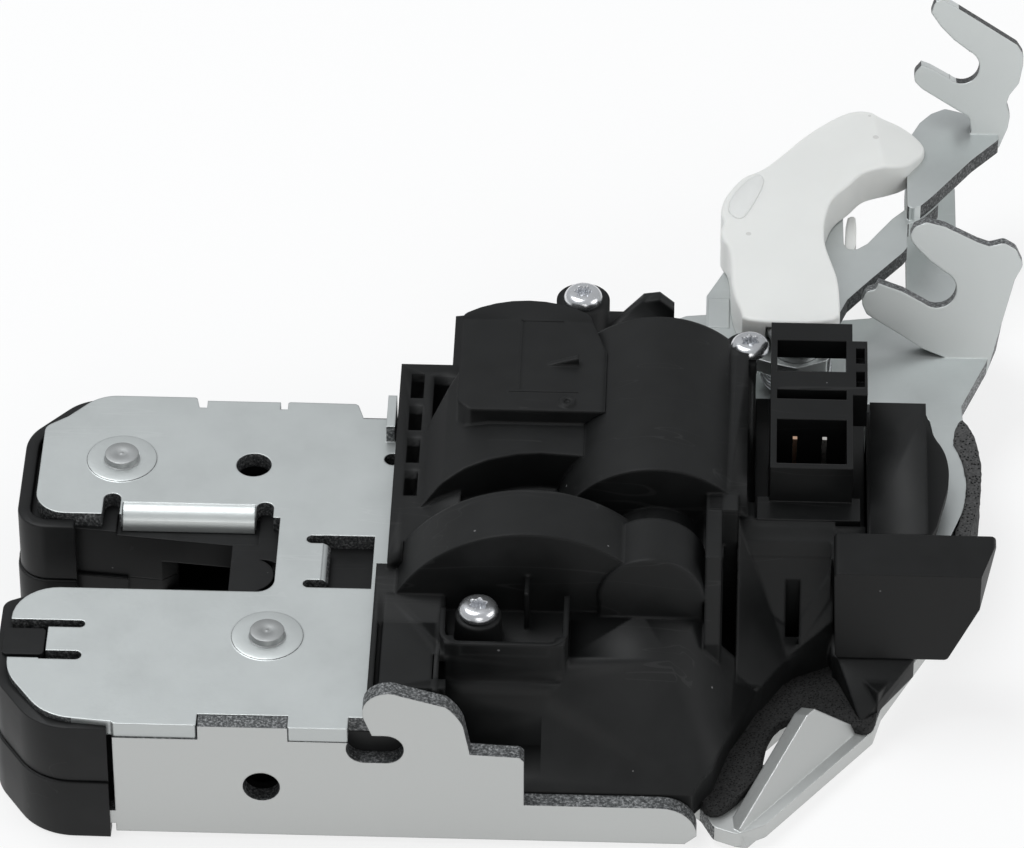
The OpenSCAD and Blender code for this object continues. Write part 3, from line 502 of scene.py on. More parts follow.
def soft_edges(bm, chosen, width, segments=3):
    """Rounds the chosen edges by a width in mm."""
    bmesh.ops.bevel(bm, geom=chosen, offset=width * MM, offset_type="OFFSET", affect="EDGES",
                    segments=segments, profile=0.5, material=-1, clamp_overlap=True)
    return bm


def carved(body, cutters):
    """The body less the cutters, as a new bmesh."""
    parts = [linked(name, mesh_from(name, bm)) for name, bm in (("body", body), ("cutters", cutters))]
    cut = parts[0].modifiers.new("cut", "BOOLEAN")
    cut.object = parts[1]
    cut.operation = "DIFFERENCE"
    cut.solver = "EXACT"
    cut.use_self = True
    bm = final_shape(parts[0])
    for made in parts:
        data = made.data
        bpy.data.objects.remove(made)
        bpy.data.meshes.remove(data)
    if not bm.faces:
        raise RuntimeError("a cut left nothing")
    return bm


def copy_of(node):
    """A merged copy of a node's mesh."""
    bm = bmesh.new()
    bm.from_mesh(frame["nodes"][node].data)
    bmesh.ops.remove_doubles(bm, verts=bm.verts, dist=0.004 * MM)
    return bm


def wire(name, points, radius):
    """A bent wire along points in mm."""
    curve = bpy.data.curves.new(name, "CURVE")
    curve.dimensions = "3D"
    curve.bevel_depth = radius * MM
    curve.bevel_resolution = 3
    curve.use_fill_caps = True
    line = curve.splines.new("POLY")
    line.points.add(len(points) - 1)
    for spot, point in zip(line.points, points):
        spot.co = (*mm(*point), 1)
    holder = linked(name + "_line", curve)
    bm = final_shape(holder)
    bpy.data.objects.remove(holder)
    bmesh.ops.remove_doubles(bm, verts=bm.verts, dist=0.002 * MM)
    bmesh.ops.recalc_face_normals(bm, faces=bm.faces)
    return bm


# Settings


class LockFinishes(PropertyGroup):
    """Colours of the lock's materials."""
    zinc: FloatVectorProperty(
        name="Zinc", description="Colour of the zinc-plated sheets", subtype="COLOR",
        default=(0.635, 0.665, 0.66))
    warm_zinc: FloatVectorProperty(
        name="Tray zinc", description="Colour of the tray", subtype="COLOR", default=(0.66, 0.675, 0.665))
    cover: FloatVectorProperty(
        name="Cover", description="Colour of the actuator cover", subtype="COLOR",
        default=(0.0068, 0.0072, 0.0073))
    case: FloatVectorProperty(
        name="Latch case", description="Colour of the latch case", subtype="COLOR",
        default=(0.0075, 0.0078, 0.008))
    handle: FloatVectorProperty(
        name="Handle", description="Colour of the white handle", subtype="COLOR",
        default=(0.77, 0.775, 0.755))


class LockSizes(PropertyGroup):
    """Sizes of the small pieces that the scene adds, and the camera's lens."""
    broken_edge: FloatProperty(
        name="Broken edge", description="Radius of the rounded edges of the sheets, in millimetres",
        default=0.3, min=0.05, max=0.6)
    head_height: FloatProperty(
        name="Screw head", description="Height of a cover screw's head, in millimetres",
        default=1.7, min=1.2, max=2.2)
    handle_round: FloatProperty(
        name="Handle rounding", description="Rounding of the white handle's upper edge, in millimetres",
        default=0.75, min=0.4, max=1.5)
    lens: FloatProperty(
        name="Lens", description="Focal length of the camera, in millimetres",
        default=239.06, min=50, max=400)


# Operators


class LOCK_OT_finishes(Operator):
    """Makes every material and gives each kept node its own"""
    bl_idname = "lock.finishes"
    bl_label = "Finishes"

    def execute(self, context):
        tone = context.scene.lock_finishes
        self.sheets(tone, context.scene.lock_sizes.broken_edge)
        moulding("cover_moulding", tone.cover, 0.5, edge_mm=0.65)
        moulding("cap_moulding", shade(tone.cover, 0.6), 0.46, grain_mm=0.22, depth=0.22)
        moulding("socket_moulding", shade(tone.cover, 0.8), 0.34, grain_mm=0.4, depth=0.12)
        moulding("base_moulding", tone.cover, 0.55)
        moulding("case_moulding", tone.case, 0.42, depth=0.2)
        moulding("case_lower_moulding", tone.case, 0.38, depth=0.15)
        moulding("catch_coat_plastic", shade(tone.case, 0.9), 0.33, depth=0.1)
        moulding("switch_plastic", (0.07, 0.07, 0.075), 0.5)
        moulding("buffer_rubber", (0.012, 0.012, 0.012), 0.75, depth=0.1)
        turned_steel("rivet_steel", (0.4, 0.41, 0.41), 0.5)
        turned_steel("hardened_steel", (0.3, 0.3, 0.31), 0.4)
        turned_steel("spring_wire", (0.55, 0.56, 0.58), 0.3)
        turned_steel("screw_zinc", (0.72, 0.73, 0.75), 0.24)
        turned_steel("motor_can_steel", (0.6, 0.61, 0.62), 0.35)
        turned_steel("pinion_brass", (0.72, 0.55, 0.28), 0.3)
        milky_plastic("gear_acetal", (0.84, 0.83, 0.78), 0.4, 0.15)
        milky_plastic("handle_acetal", tone.handle, 0.36, 0.25)
        soft_black("felt_pad", (0.005, 0.005, 0.005), (0.04, 0.04, 0.04), 2400.0, 0.32, 0.7)
        soft_black("foam_cells", (0.004, 0.004, 0.004), (0.12, 0.12, 0.12), 1900.0, 0.3, 0.9)
        tinned_metal("contact_metal", 81.7)
        self.dress_nodes()
        return {"FINISHED"}

    def sheets(self, tone, edge_mm):
        """Finishes of the plate, the tray, the bracket and the lever."""
        up = (0, 0, 1)
        back = (0, 1, 0)
        anywhere = (None, None, None)
        fork_lean = radians(20)
        fork_face = (0, -cos(fork_lean), sin(fork_lean))
        flange_turn = radians(52.6)
        flange_face = Vector((sin(flange_turn), -cos(flange_turn), 0.42)).normalized()
        hem = ((-18.7, -12.2, None), (1.0, -8.8, None))
        front_rim = (anywhere, (None, -55.8, None))
        # Standing faces of the plate and tray take the full painted shade; those of the bracket and lever
        # take only a little
        zinc_sheet("zinc_plate", tone.zinc, [up], edge_mm, smooth=(hem, front_rim))
        front_wall = ((None, None, -17.8), (66, -54.4, None), back)
        zinc_sheet("zinc_tray", tone.warm_zinc, [up, back, flange_face], edge_mm, 1.1, [front_wall])
        lower_fork = ((None, 35, -6.8), anywhere, fork_face)
        zinc_sheet("zinc_bracket", tone.zinc, [up, fork_face], edge_mm, 1.3, [lower_fork], standing_shade=0.98)
        upper_fork = ((104, 79, 2.6), anywhere, fork_face)
        zinc_sheet("zinc_lever", tone.zinc, [up, fork_face], edge_mm, 0.6, [upper_fork], standing_shade=0.95)

    def dress_nodes(self):
        """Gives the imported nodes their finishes."""
        kept = {
            "zinc_plate": "top_plate",
            "zinc_tray": "base_tray",
            "zinc_bracket": "cable_bracket",
            "zinc_lever": "release_lever",
            "cover_moulding": "actuator_cover",
            "cap_moulding": "end_cap",
            "socket_moulding": "connector_socket",
            "base_moulding": "actuator_base",
            "case_moulding": "latch_case_upper",
            "case_lower_moulding": "latch_case_lower",
            "catch_coat_plastic": "catch_coat",
            "switch_plastic": "latch_switch",
            "buffer_rubber": "striker_buffer",
            "hardened_steel": "catch pawl",
            "spring_wire": "motor_shaft gear_axle catch_spring pawl_spring",
            "motor_can_steel": "motor_can",
            "pinion_brass": "pinion",
            "gear_acetal": "drive_gear release_ramp"}
        for look, nodes in kept.items():
            for node in nodes.split():
                slots = frame["nodes"][node].data.materials
                if not slots:
                    slots.append(FINISHES[look])
                for k in range(len(slots)):
                    slots[k] = FINISHES[look]


class LOCK_OT_plate(Operator):
    """Top plate with its rolled hem, window, clip slots and coined rivet seats"""
    bl_idname = "lock.plate"
    bl_label = "Top plate"

    def execute(self, context):
        sheet = 2.5
        outline = filleted([
            (-7.8, 14.5), (-7.8, 12.9), (-8.9, 12.9), (-9.4, 15.2, 0.5), (-23.8, 15.2, 6), (-28.2, 10.2, 3),
            (-31.4, 7.8, 2), (-31.4, -11.7, 4.5), (4.6, -11.7), (4.6, -28.1, 2.6), (-32.6, -28.1, 6.5),
            (-32.4, -46.4, 9), (-26.2, -55.4, 8), (-16.4, -56.4, 0.4), (-16.4, -56.8, 0.3),
            (-4.6, -56.8, 0.3), (-4.6, -54.4), (8.3, -54.4), (8.3, -56.9, 0.3), (16.8, -56.9, 0.3),
            (16.8, -54.4), (27.9, -54.4), (27.9, 11.2), (15.6, 11.2), (14.6, 14.5, 0.8), (4.2, 14.6, 0.4),
            (4.2, 12.9), (3.1, 12.9), (3.1, 14.5)], steps=9)
        bm = carved(prism(outline, -sheet, 0), self.openings(-4, 1))
        self.hem(bm)
        block((19.2, 6, -sheet), (20.5, 13.2, 2.9), into=bm)
        bend = 1.4
        fold = [(10.9 + x, z - bend) for z, x in arch((0, 0), bend, 0, 81, 8)]
        prism(fold + [(11.6, -2.4), (10.9, -2.4)], -25.1, -17.2, "Y", into=bm)
        seat = [(2.6, -0.1), (2.6, 0.1), (4.9, 0.16), (5.1, 0.1), (5.25, -0.1)]
        for centre in (CATCH_AT, PAWL_AT):
            add_to(bm, turned(seat, centre, steps=64))
        piece("top_plate_pressed", bm, "zinc_plate", node="top_plate", smooth=30)
        return {"FINISHED"}

    def openings(self, low, high):
        """Everything that is punched out of the plate, as solids between two levels."""
        holes = block((-18.6, -13, low), (0.9, -9, high))
        for x0, x1, y in ((-21.5, -18.9, -8.4), (0.95, 3.55, -9.7)):
            notch = [(x0, -14), (x1, -14), (x1, y + 1.3, 1.29), (x0, y + 1.3, 1.29)]
            prism(filleted(notch, steps=8), low, high, into=holes)
        block((11.2, -26.9, low), (18.6, -15.4, high), into=holes)
        # Slots with a round end at the left
        for x0, x1, y, r in ((8.7, 12.2, -16.3, 0.85), (8.7, 12.2, -26.05, 0.85)):
            end = r * 0.99
            slot = [(x0, y - r, end), (x1, y - r), (x1, y + r), (x0, y + r, end)]
            prism(filleted(slot), low, high, into=holes)
        # Slots with a round end at the right
        for x0, x1, y, r in ((-34.5, -21.9, -35.9, 0.75), (-28, -21.9, -42.6, 0.9)):
            end = r * 0.99
            slot = [(x0, y - r), (x1, y - r, end), (x1, y + r, end), (x0, y + r)]
            prism(filleted(slot), low, high, into=holes)
        block((-35, -43.3, low), (-27.1, -36, high), into=holes)
        for centre, r in (((0, 0), 2.6), ((20.4, 2), 1.3)):
            add_to(holes, turned([(0, low), (r, low), (r, high), (0, high)], centre, steps=40))
        return holes

    def hem(self, bm):
        """Rolled edge beside the striker slot."""
        y, z = -9, -3
        outer, inner = 3, 0.6
        roll = [(y - b, z + a) for a, b in arch((0, 0), outer, 0, 91, 6)]
        roll += [(y - b, z + a) for a, b in arch((0, 0), inner, 90, -1, -15)]
        prism(roll, -18.5, 0.8, "X", into=bm)


class LOCK_OT_case_walls(Operator):
    """Curved outer walls of the latch case, upper and lower half"""
    bl_idname = "lock.case_walls"
    bl_label = "Case walls"

    def execute(self, context):
        lobes = {
            "rear": [(-17, 15.4), (-26.3, 15.4, 7), (-34.0, 6.6, 7), (-34.0, -13.9, 4.4), (-25.4, -13.9)],
            "front": [(-30.6, -28.9), (-34.1, -30.6, 2), (-34.2, -46.6, 9), (-27.3, -57.0, 9),
                      (-17.3, -57.1)]}
        wall = 1.9
        for name, corners in lobes.items():
            line = filleted(corners, closed=False, steps=12)
            for half, low, high, swell in (("upper", -10.9, -0.9, 0), ("lower", -21.3, -11.1, 0.35)):
                bm = prism(beside(line, swell) + beside(line, -wall)[::-1], low, high)
                rim = [e for e in bm.edges if all(abs(v.co.z - high * MM) < SAME_PLACE for v in e.verts)]
                soft_edges(bm, rim, 0.3, 2)
                piece(f"case_wall_{name}_{half}", bm, "case_moulding", like=f"latch_case_{half}", smooth=32)
        return {"FINISHED"}


class LOCK_OT_cover(Operator):
    """Actuator cover with its domes, plateau, screw pocket, slots and side panel"""
    bl_idname = "lock.cover"
    bl_label = "Actuator cover"

    def execute(self, context):
        cutters = block((29.45, -40.4, -1.2), (47.4, -29.62, 14))
        block((27.5, -45.5, 3.5), (48.5, -29.62, 14), into=cutters)
        block((28.2, -47.5, -3.1), (48.2, -42.25, 14), into=cutters)
        prism([(-13.4, 3.5), (-26.4, -12), (-34, -12), (-34, 6), (-13.4, 6)], 71.3, 84.75, "X", into=cutters)
        self.motor_hump(cutters, 15.0, -13.2, 22.0)
        gear_hump = arch(GEAR_AT, 21.5, 41, 159) + [(21.7, -1.9), (57.4, -1.9)]
        prism(gear_hump, -29.7, -19.65, "Y", into=cutters)
        bm = carved(copy_of("actuator_cover"), cutters)
        self.domes(bm)
        self.plateau(bm)
        self.pocket(bm)
        self.side_panel(bm)
        piece("actuator_cover_moulded", bm, "cover_moulding", node="actuator_cover", smooth=32)
        return {"FINISHED"}

    def motor_hump(self, bm, radius, front, rear):
        """Round hump over the motor."""
        prism(arch(MOTOR_AT, radius, 46, 181) + [MOTOR_AT], front, rear, "Y", into=bm)

    def domes(self, bm):
        """Humps over the pinion, the motor and the gear, and the step at their right."""
        x, r = 59.0, 7.7
        dome = prism(arch((x, 2.1), r, 0, 181) + [(x - r, -12), (x + r, -12)], -30.6, -21.2, "Y")
        front = [e for e in dome.edges if all(v.co.y < -30.5 * MM and v.co.z > 1 * MM for v in e.verts)]
        add_to(bm, soft_edges(dome, front, 0.5))
        self.motor_hump(bm, 14.8, -13.1, 21.9)
        gear_hump = arch(GEAR_AT, 21.3, 41, 159) + [(21.65, -2), (57.5, -2)]
        prism(gear_hump, -29.6, -19.7, "Y", into=bm)
        step_top = 7.62
        side = [(-12.5, step_top), (-27.0, step_top), (-34.4, -2.5), (-34.4, -12), (-12.5, -12)]
        prism(side, 66.6, 68.9, "X", into=bm)
        block((67.1, -16.6, -12), (71.2, -12.5, step_top), into=bm)

    def plateau(self, bm):
        """Sweep between the ledge, the raised block and the gear hump, and the marks on the block."""
        edge = [(24.4, -12.4), (25.5, -11.9), (27.5, -9.9), (30.2, -8.3), (32.9, -7.2), (35.6, -6.1),
                (38.9, -5.0), (42.2, -4.6), (48.5, -5.1), (48.5, 3), (31, 3), (30.6, 14), (29.9, 15.9),
                (26.0, 7.4), (24.4, 3)]
        sweep = prism(edge, -6, 7.5)
        for x, z, fall in ((34.5, 7.5, 10), (31.5, 6.97, 24), (28.2, 5.5, 38)):
            sliced(sweep, (x, 0, z), (-sin(radians(fall)), 0, cos(radians(fall))))
        add_to(bm, sweep)
        block_top, ridge_top = 9.9, 10.12
        for x0, x1, y0, y1 in ((38.6, 38.85, 6.4, 22.8), (38.6, 44.9, 22.6, 22.85), (37.3, 47.4, 6.2, 6.45)):
            block((x0, y0, block_top), (x1, y1, ridge_top), into=bm)
        prism([(42.7, block_top), (47.4, 11.4), (47.4, block_top)], 12.4, 13.4, "Y", into=bm)
        ring = [(0.5, block_top), (0.5, 10.25), (0.8, 10.35), (1.15, 10.3), (1.3, block_top)]
        add_to(bm, turned(ring, (45.9, 4.0), steps=32))

    def pocket(self, bm):
        """Boss of the front screw, its rib, the pocket's sides and the frame round the ledge."""
        boss = [(0, -1.5), (3.5, -1.5), (3.3, 3.2), (3.0, 3.45), (0, 3.45)]
        add_to(bm, turned(boss, FRONT_SCREW_AT))
        block((40.9, -33.6, -1.3), (41.5, -29.5, 5.6), into=bm)
        rim = filleted([(29.0, -34.6), (29.0, -42.4, 3), (47.3, -42.4, 3), (47.3, -31.5)], closed=False)
        prism(rim + beside(rim, -0.75)[::-1], -3.2, 3.6, into=bm)
        ledge = block((19.2, -50, 0.06), (29.1, -23, 1.5))
        add_to(bm, carved(ledge, block((20.0, -52, 0.45), (28.4, -35.4, 3))))

    def side_panel(self, bm):
        """Inclined panel at the right with its slot, the foot beside it and the lip behind it."""
        low, high = -16.9, 3.6
        upper = prism([(71.3, -13.4), (85.3, -13.4), (85.3, -22.8), (82.7, -24.2), (78.9, -26.2)], low, high)
        lower = prism([(71.3, -13.4), (78.9, -26.2), (75.2, -32.7), (71.3, -35.0)], low, high)
        sliced(upper, (75, -13.4, 3.5), (0, -0.766, 0.643))
        sliced(lower, (71.3, -13.4, 3.5), (0.677, -0.368, 0.637))
        add_to(bm, carved(upper, block((78.4, -25.1, -17.5), (80.4, -19, 4))))
        add_to(bm, lower)
        foot = [(85.2, -22), (97.2, -22), (97.2, -24.9), (91.9, -32.9), (88.6, -28.8), (85.4, -25.3)]
        prism(foot, -16.4, -12.6, into=bm)
        lip = [(97.5, 18), (99, 18.2), (99.9, 12.6), (101.6, 9.3), (102.3, 5.1), (102.1, 0.9), (101, -4.2),
               (100, -9.6), (97.5, -12)]
        prism(rounded(lip), -3.5, -2, into=bm)


class LOCK_OT_screws(Operator):
    """Three pan-head screws with a six-lobed recess"""
    bl_idname = "lock.screws"
    bl_label = "Cover screws"

    def execute(self, context):
        head = context.scene.lock_sizes.head_height
        bm = bmesh.new()
        for number, spot in enumerate([(47.5, 33.6, 5.4), (72.6, 22.6, 5.6), (*FRONT_SCREW_AT, 3.6)]):
            one = self.screw(head, 0.35 * number)
            bmesh.ops.translate(one, verts=one.verts, vec=mm(*spot))
            add_to(bm, one)
        piece("cover_screw_heads", bm, "screw_zinc", node="cover_screws", smooth=38)
        return {"FINISHED"}

    def screw(self, head, turn):
        """One screw with its head's underside at height 0, turned by an angle in radians."""
        # Radius, depth of the six lobes and height of each ring
        rings = [
            (1.0, 0.17, 0.45), (1.12, 0.2, head - 0.14), (1.24, 0.2, head), (1.8, 0, head - 0.02),
            (2.25, 0, head - 0.16), (2.62, 0, head - 0.48), (2.84, 0, head - 0.9), (2.92, 0, head - 1.25),
            (2.88, 0, 0.2), (2.72, 0, 0.02), (1.15, 0, 0.02), (1.15, 0, -4.2), (0.8, 0, -4.6)]
        bm = bmesh.new()
        first = bmesh.ops.create_circle(bm, cap_ends=False, radius=MM, segments=72)["verts"]
        ring = first
        edges = bm.edges[:]
        for level, (radius, lobe, height) in enumerate(rings):
            if level:
                grown = bmesh.ops.extrude_edge_only(bm, edges=edges)["geom"]
                ring = [g for g in grown if isinstance(g, bmesh.types.BMVert)]
                edges = [g for g in grown if isinstance(g, bmesh.types.BMEdge)]
                edges = [e for e in edges if all(v in ring for v in e.verts)]
            for vert in ring:
                flat = Vector((vert.co.x, vert.co.y, 0)).normalized()
                angle = flat.xy.angle_signed(Vector((1, 0)), 0)
                reach = radius + lobe * cos(6 * (angle + turn))
                vert.co = flat * reach * MM + Vector((0, 0, height * MM))
        for end in (first, ring):
            rim = [e for e in bm.edges if e.is_boundary and all(v in end for v in e.verts)]
            bmesh.ops.contextual_create(bm, geom=rim)
        bmesh.ops.recalc_face_normals(bm, faces=bm.faces)
        return bm


class LOCK_OT_rivets(Operator):
    """Peened rivet heads of the catch, pawl and lever"""
    bl_idname = "lock.rivets"
    bl_label = "Rivets"

    def execute(self, context):
        shank = [(0, -20.5), (2.4, -20.5), (2.65, -20.3), (2.65, -18.0), (4.0, -18.0), (4.0, -2.5),
                 (2.65, -2.5), (2.65, 0.1), (2.5, 0.2), (2.5, 1.0), (2.42, 1.14), (2.25, 1.2), (0.8, 1.17),
                 (0.45, 1.05), (0.2, 1.12), (0, 1.15)]
        pivot = [(0, -9.5), (3.0, -9.5), (3.0, -7.0), (3.6, -7.0), (3.6, 3.2), (4.35, 3.2), (4.6, 3.4),
                 (4.6, 4.05), (4.3, 4.42), (3.6, 4.58), (1.4, 4.6), (1.1, 4.5), (0, 4.46)]
        for name, profile, centre, steps in (("catch", shank, CATCH_AT, 48), ("pawl", shank, PAWL_AT, 48),
                                             ("lever", pivot, LEVER_AT, 64)):
            bm = turned(profile, centre, steps)
            piece(f"{name}_rivet_turned", bm, "rivet_steel", node=f"{name}_rivet")
        return {"FINISHED"}


class LOCK_OT_handle(Operator):
    """White release handle with its rounded top, sloped beak, thumb pad and tongue"""
    bl_idname = "lock.handle"
    bl_label = "White handle"

    def execute(self, context):
        outline = [
            (71.2, 31.2), (69.7, 36), (69.5, 46), (67.95, 48.8), (67.95, 51.2), (68.55, 52.6), (67.85, 54.4),
            (68.05, 57), (68.65, 59.2), (70.3, 62.5), (71.5, 64.1), (74, 65.6), (76.4, 68.5), (81, 75),
            (85.4, 79.4), (87.8, 81), (90.2, 81.3), (92.7, 80.1), (95.2, 79.7), (97.5, 78.3), (99.3, 76.1),
            (99.2, 73.7), (97.5, 70.8), (96.1, 68.8), (93.9, 67.5), (90.5, 66.2), (89.1, 65.1), (87.5, 62.4),
            (84.9, 59.3), (83.8, 54.5), (83.6, 50.8), (83.8, 47.2), (84.8, 43.2), (85.7, 39.5), (86, 34),
            (86, 28.7), (71.5, 28.7)]
        bm = prism(rounded(outline), 0.03, 6.0)
        beak_fall = radians(20)
        sliced(bm, (91.9, 74.5, 6), (0.989 * sin(beak_fall), 0.151 * sin(beak_fall), cos(beak_fall)))
        top = [f for f in bm.faces if f.normal.z > 0.5]
        rim = [e for e in bm.edges if len(e.link_faces) == 2 and sum(f in top for f in e.link_faces) == 1]
        soft_edges(bm, rim, context.scene.lock_sizes.handle_round, 4)
        bm = carved(bm, turned([(0, -1), (4.95, -1), (4.95, 4.8), (0, 4.8)], LEVER_AT))
        tongue = [(86.9, 53.6), (88.7, 54.2), (88.8, 62.6), (88.2, 63.4), (87.2, 62.6)]
        prism(rounded(tongue, 1), -2.4, -0.9, into=bm)
        piece("release_handle", bm, "handle_acetal", node="lever_handle", smooth=28)
        pad = [(70.3, 53.3), (69.0, 54.7), (69.1, 57), (69.7, 58.9), (71.3, 61.9), (72.4, 63.4), (73.6, 64.5),
               (74.4, 63.5), (74.3, 61.4), (73.3, 58.1), (72.1, 54.9), (71.3, 53.4)]
        bm = prism(rounded(pad, 1), 5.8, 6.14)
        soft_edges(bm, [e for e in bm.edges if all(v.co.z > 6.1 * MM for v in e.verts)], 0.12, 2)
        piece("handle_thumb_pad", bm, "handle_acetal", like="lever_handle", smooth=40)
        return {"FINISHED"}


class LOCK_OT_springs(Operator):
    """Coil of the torsion spring under the lever"""
    bl_idname = "lock.springs"
    bl_label = "Springs"

    def execute(self, context):
        centre = Vector(LEVER_AT)
        turns, per_turn, radius, rise = 2.75, 24, 4.9, 1.2
        coil = []
        for k in range(int(turns * per_turn) + 1):
            angle = radians(-40) + 2 * pi * k / per_turn
            height = -5.9 + rise * k / per_turn
            coil.append((centre.x + radius * cos(angle), centre.y + radius * sin(angle), height))
        bm = wire("lever_spring_wire", coil, 0.5)
        piece("lever_spring_wire", bm, "spring_wire", node="lever_spring", smooth=60)
        return {"FINISHED"}


class LOCK_OT_contacts(Operator):
    """Two plug contacts with pointed tips"""
    bl_idname = "lock.contacts"
    bl_label = "Contacts"

    def execute(self, context):
        middle, y, half_pitch = 81.4, -3.6, 2.15
        bm = bmesh.new()
        for x in (middle - half_pitch, middle + half_pitch):
            made = bmesh.ops.create_cube(bm, size=1)["verts"]
            bmesh.ops.scale(bm, verts=made, vec=mm(0.64, 0.64, 19.6))
            bmesh.ops.translate(bm, verts=made, vec=mm(x, y, 0.8))
            top = [f for f in {f for v in made for f in v.link_faces} if f.normal.z > 0.9]
            inner = bmesh.ops.extrude_discrete_faces(bm, faces=top)["faces"]
            tips = [v for f in inner for v in f.verts]
            bmesh.ops.scale(bm, verts=tips, vec=(0.45, 0.45, 1), space=Matrix.Translation(-mm(x, y, 0)))
        bmesh.ops.remove_doubles(bm, verts=bm.verts, dist=SAME_PLACE)
        piece("plug_contacts", bm, "contact_metal", node="contacts")
        return {"FINISHED"}


class LOCK_OT_seals(Operator):
    """Foam seal beside the bracket and felt pad on the tray"""
    bl_idname = "lock.seals"
    bl_label = "Seals"

    def execute(self, context):
        foam = [(102.9, 17.2), (104.3, 22.9), (105.9, 20.4), (107, 16.1), (107.5, 11), (107.2, 5.9),
                (106.4, 0.8), (105.5, -3.8), (104.6, -8), (101.6, -8), (103.2, -3.9), (104.4, 1.6),
                (105, 5.8), (104.8, 10), (104.1, 13.8)]
        self.padded_piece("foam_seal", prism(rounded(foam, 1), -15.5, -6.8), "foam_cells", 0.16)
        felt = [(82.8, -16), (79, -22.4), (75.3, -29.4), (72.1, -36.6), (69.5, -43), (66.9, -47.7),
                (66.4, -50.1), (66.8, -53), (68.6, -54.4), (70.7, -53), (75.4, -46.3), (80.1, -39.9),
                (84.4, -34.8), (87.6, -35.3), (90.3, -36.2), (91.3, -35.2), (91.9, -33.2), (91.9, -29.6),
                (94, -24), (86, -16)]
        hole = [(75.6, -46), (75.4, -43.6), (76.1, -38.8), (77.5, -35.8), (79.1, -34.4), (80.7, -34.5),
                (81.5, -36.3), (81.2, -38.6)]
        pad = carved(prism(rounded(felt, 1), -17.98, -16.45), prism(rounded(hole, 1), -19, -15))
        self.padded_piece("floor_pad", pad, "felt_pad", 0.07)
        return {"FINISHED"}

    def padded_piece(self, node, bm, finish, lift):
        """A soft piece with a finely uneven surface; lift is the height of its unevenness in mm."""
        longest = 0.8 * MM
        bmesh.ops.triangulate(bm, faces=bm.faces)
        for _ in range(5):
            long_edges = [e for e in bm.edges if e.calc_length() > longest]
            bmesh.ops.subdivide_edges(bm, edges=long_edges, cuts=1)
            bmesh.ops.triangulate(bm, faces=[f for f in bm.faces if len(f.verts) > 3])
        bm.normal_update()
        for vert in bm.verts:
            rough = noise.noise(vert.co * 900) + 0.5 * noise.noise(vert.co * 2100)
            vert.co += vert.normal * (rough - 0.7) * lift * MM
        made = piece(node + "_cells", bm, finish, node=node, smooth=None)


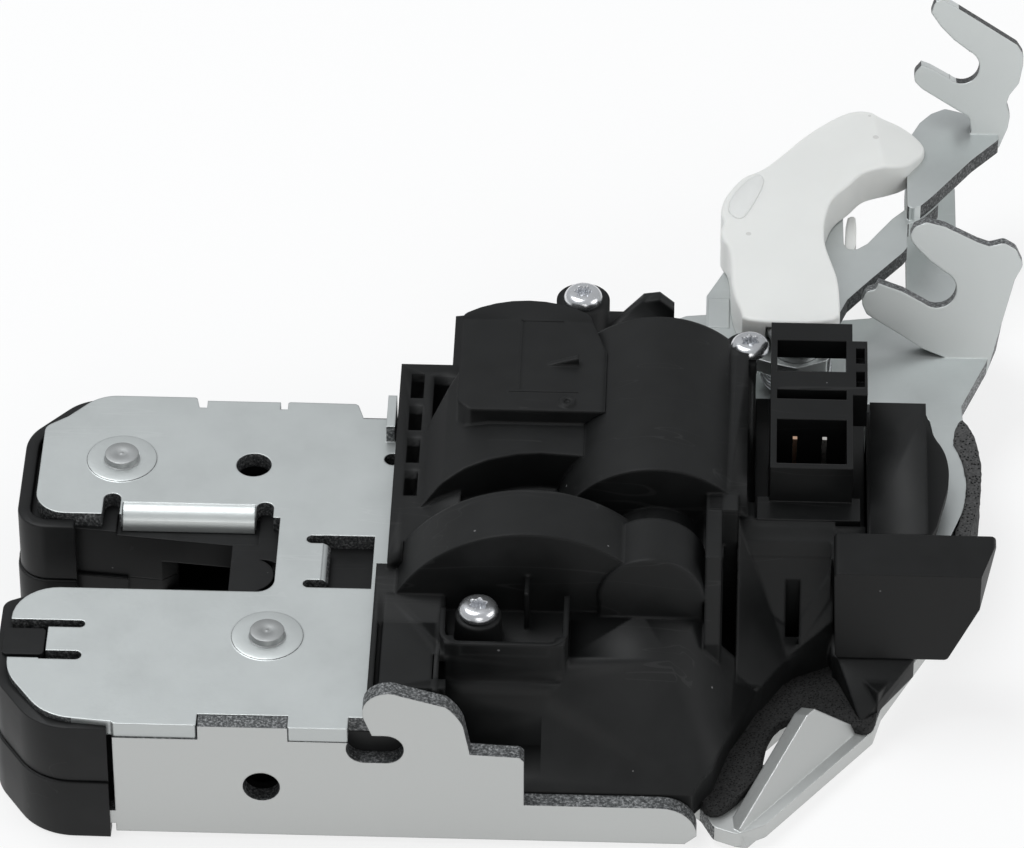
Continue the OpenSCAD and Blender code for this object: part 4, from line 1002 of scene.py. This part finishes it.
class LOCK_OT_stage(Operator):
    """Pale floor, soft lamps and the camera of the picture"""
    bl_idname = "lock.stage"
    bl_label = "Stage"

    def execute(self, context):
        scene = context.scene
        self.floor()
        scene.world = self.sky()
        target = mm(37.78, 5.2, 4.62)
        self.lamps(target)
        eye = bpy.data.cameras.new("picture_camera")
        eye.sensor_width = 36
        eye.lens = scene.lock_sizes.lens
        eye.clip_start = 0.05
        eye.clip_end = 20
        scene.camera = self.aimed("picture_camera", eye, mm(64.517, -760.380, 647.406), target)
        scene.view_settings.view_transform = "Standard"
        return {"FINISHED"}

    def aimed(self, name, data, place, target):
        """A lamp or camera at a place, aimed at a target."""
        holder = linked(name, data)
        holder.location = place
        holder.rotation_euler = (target - holder.location).to_track_quat("-Z", "Y").to_euler()
        return holder

    def floor(self):
        """Floor that looks white and still takes soft shadows."""
        bm = bmesh.new()
        bmesh.ops.create_grid(bm, x_segments=8, y_segments=8, size=3.0)
        bmesh.ops.translate(bm, verts=bm.verts, vec=mm(35, 15, -21.52))
        floor = linked("floor", mesh_from("floor", bm))
        material = bpy.data.materials.new("pale_floor")
        tree = emptied(material)
        soft = put(tree, "BsdfDiffuse", {"Color": (0.93, 0.93, 0.93)})
        plain = put(tree, "Emission", {"Color": (1, 1, 1), "Strength": 1.0})
        rays = put(tree, "LightPath").outputs
        seen = calc(tree, "MAXIMUM", rays["Is Glossy Ray"], rays["Is Transmission Ray"])
        seen = calc(tree, "MAXIMUM", rays["Is Camera Ray"], seen)
        share = times(tree, seen, 0.72)
        mixed = put(tree, "MixShader", {0: share, 1: soft.outputs[0], 2: plain.outputs[0]})
        put(tree, "OutputMaterial", {"Surface": mixed.outputs[0]})
        floor.data.materials.append(material)

    def sky(self):
        """World that is plain white to the camera and lights the part more weakly."""
        world = bpy.data.worlds.new("studio")
        tree = emptied(world)
        camera_ray = put(tree, "LightPath").outputs["Is Camera Ray"]
        lit = put(tree, "Background", {"Color": (0.96, 0.98, 1.0), "Strength": 0.5})
        white = put(tree, "Background", {"Color": (1, 1, 1), "Strength": 1.0})
        mixed = put(tree, "MixShader", {0: camera_ray, 1: lit.outputs[0], 2: white.outputs[0]})
        put(tree, "OutputWorld", {"Surface": mixed.outputs[0]})
        return world

    def lamps(self, target):
        """Three round lamps: name, place in mm, width in metres, power and colour."""
        lamps = [
            ("key_above", (-250, 120, 800), 0.55, 3.6, (0.97, 0.99, 1.0)),
            ("front_soft", (120, -800, 360), 0.5, 1.0, (1.0, 0.985, 0.96)),
            ("right_fill", (700, -100, 420), 0.5, 1.2, (1.0, 1.0, 1.0))]
        for name, place, size, power, colour in lamps:
            lamp = bpy.data.lights.new(name, "AREA")
            lamp.shape = "DISK"
            lamp.size = size
            lamp.energy = power
            lamp.color = colour
            self.aimed(name, lamp, mm(*place), target)


class LOCK_PT_sidebar(Panel):
    """Lists the lock's settings and steps"""
    bl_label = "Trunk lock"
    bl_idname = "LOCK_PT_sidebar"
    bl_space_type = "VIEW_3D"
    bl_region_type = "UI"
    bl_category = "Lock"

    def draw(self, context):
        layout = self.layout
        for settings in (context.scene.lock_finishes, context.scene.lock_sizes):
            for key in settings.__annotations__:
                layout.prop(settings, key)
        for step in STEPS:
            layout.operator(step.bl_idname)


STEPS = (LOCK_OT_stage, LOCK_OT_finishes, LOCK_OT_plate, LOCK_OT_case_walls, LOCK_OT_cover, LOCK_OT_screws,
         LOCK_OT_rivets, LOCK_OT_handle, LOCK_OT_springs, LOCK_OT_contacts, LOCK_OT_seals)
CLASSES = (LockFinishes, LockSizes) + STEPS + (LOCK_PT_sidebar,)


def register():
    """Adds the settings, the steps and the panel."""
    for cls in CLASSES:
        bpy.utils.register_class(cls)
    bpy.types.Scene.lock_finishes = PointerProperty(type=LockFinishes)
    bpy.types.Scene.lock_sizes = PointerProperty(type=LockSizes)


def unregister():
    """Takes away the settings, the steps and the panel."""
    del bpy.types.Scene.lock_sizes
    del bpy.types.Scene.lock_finishes
    for cls in reversed(CLASSES):
        bpy.utils.unregister_class(cls)


def main():
    """Runs every step."""
    register()
    for step in STEPS:
        area, name = step.bl_idname.split(".")
        getattr(getattr(bpy.ops, area), name)()


if __name__ == "__main__":
    main()
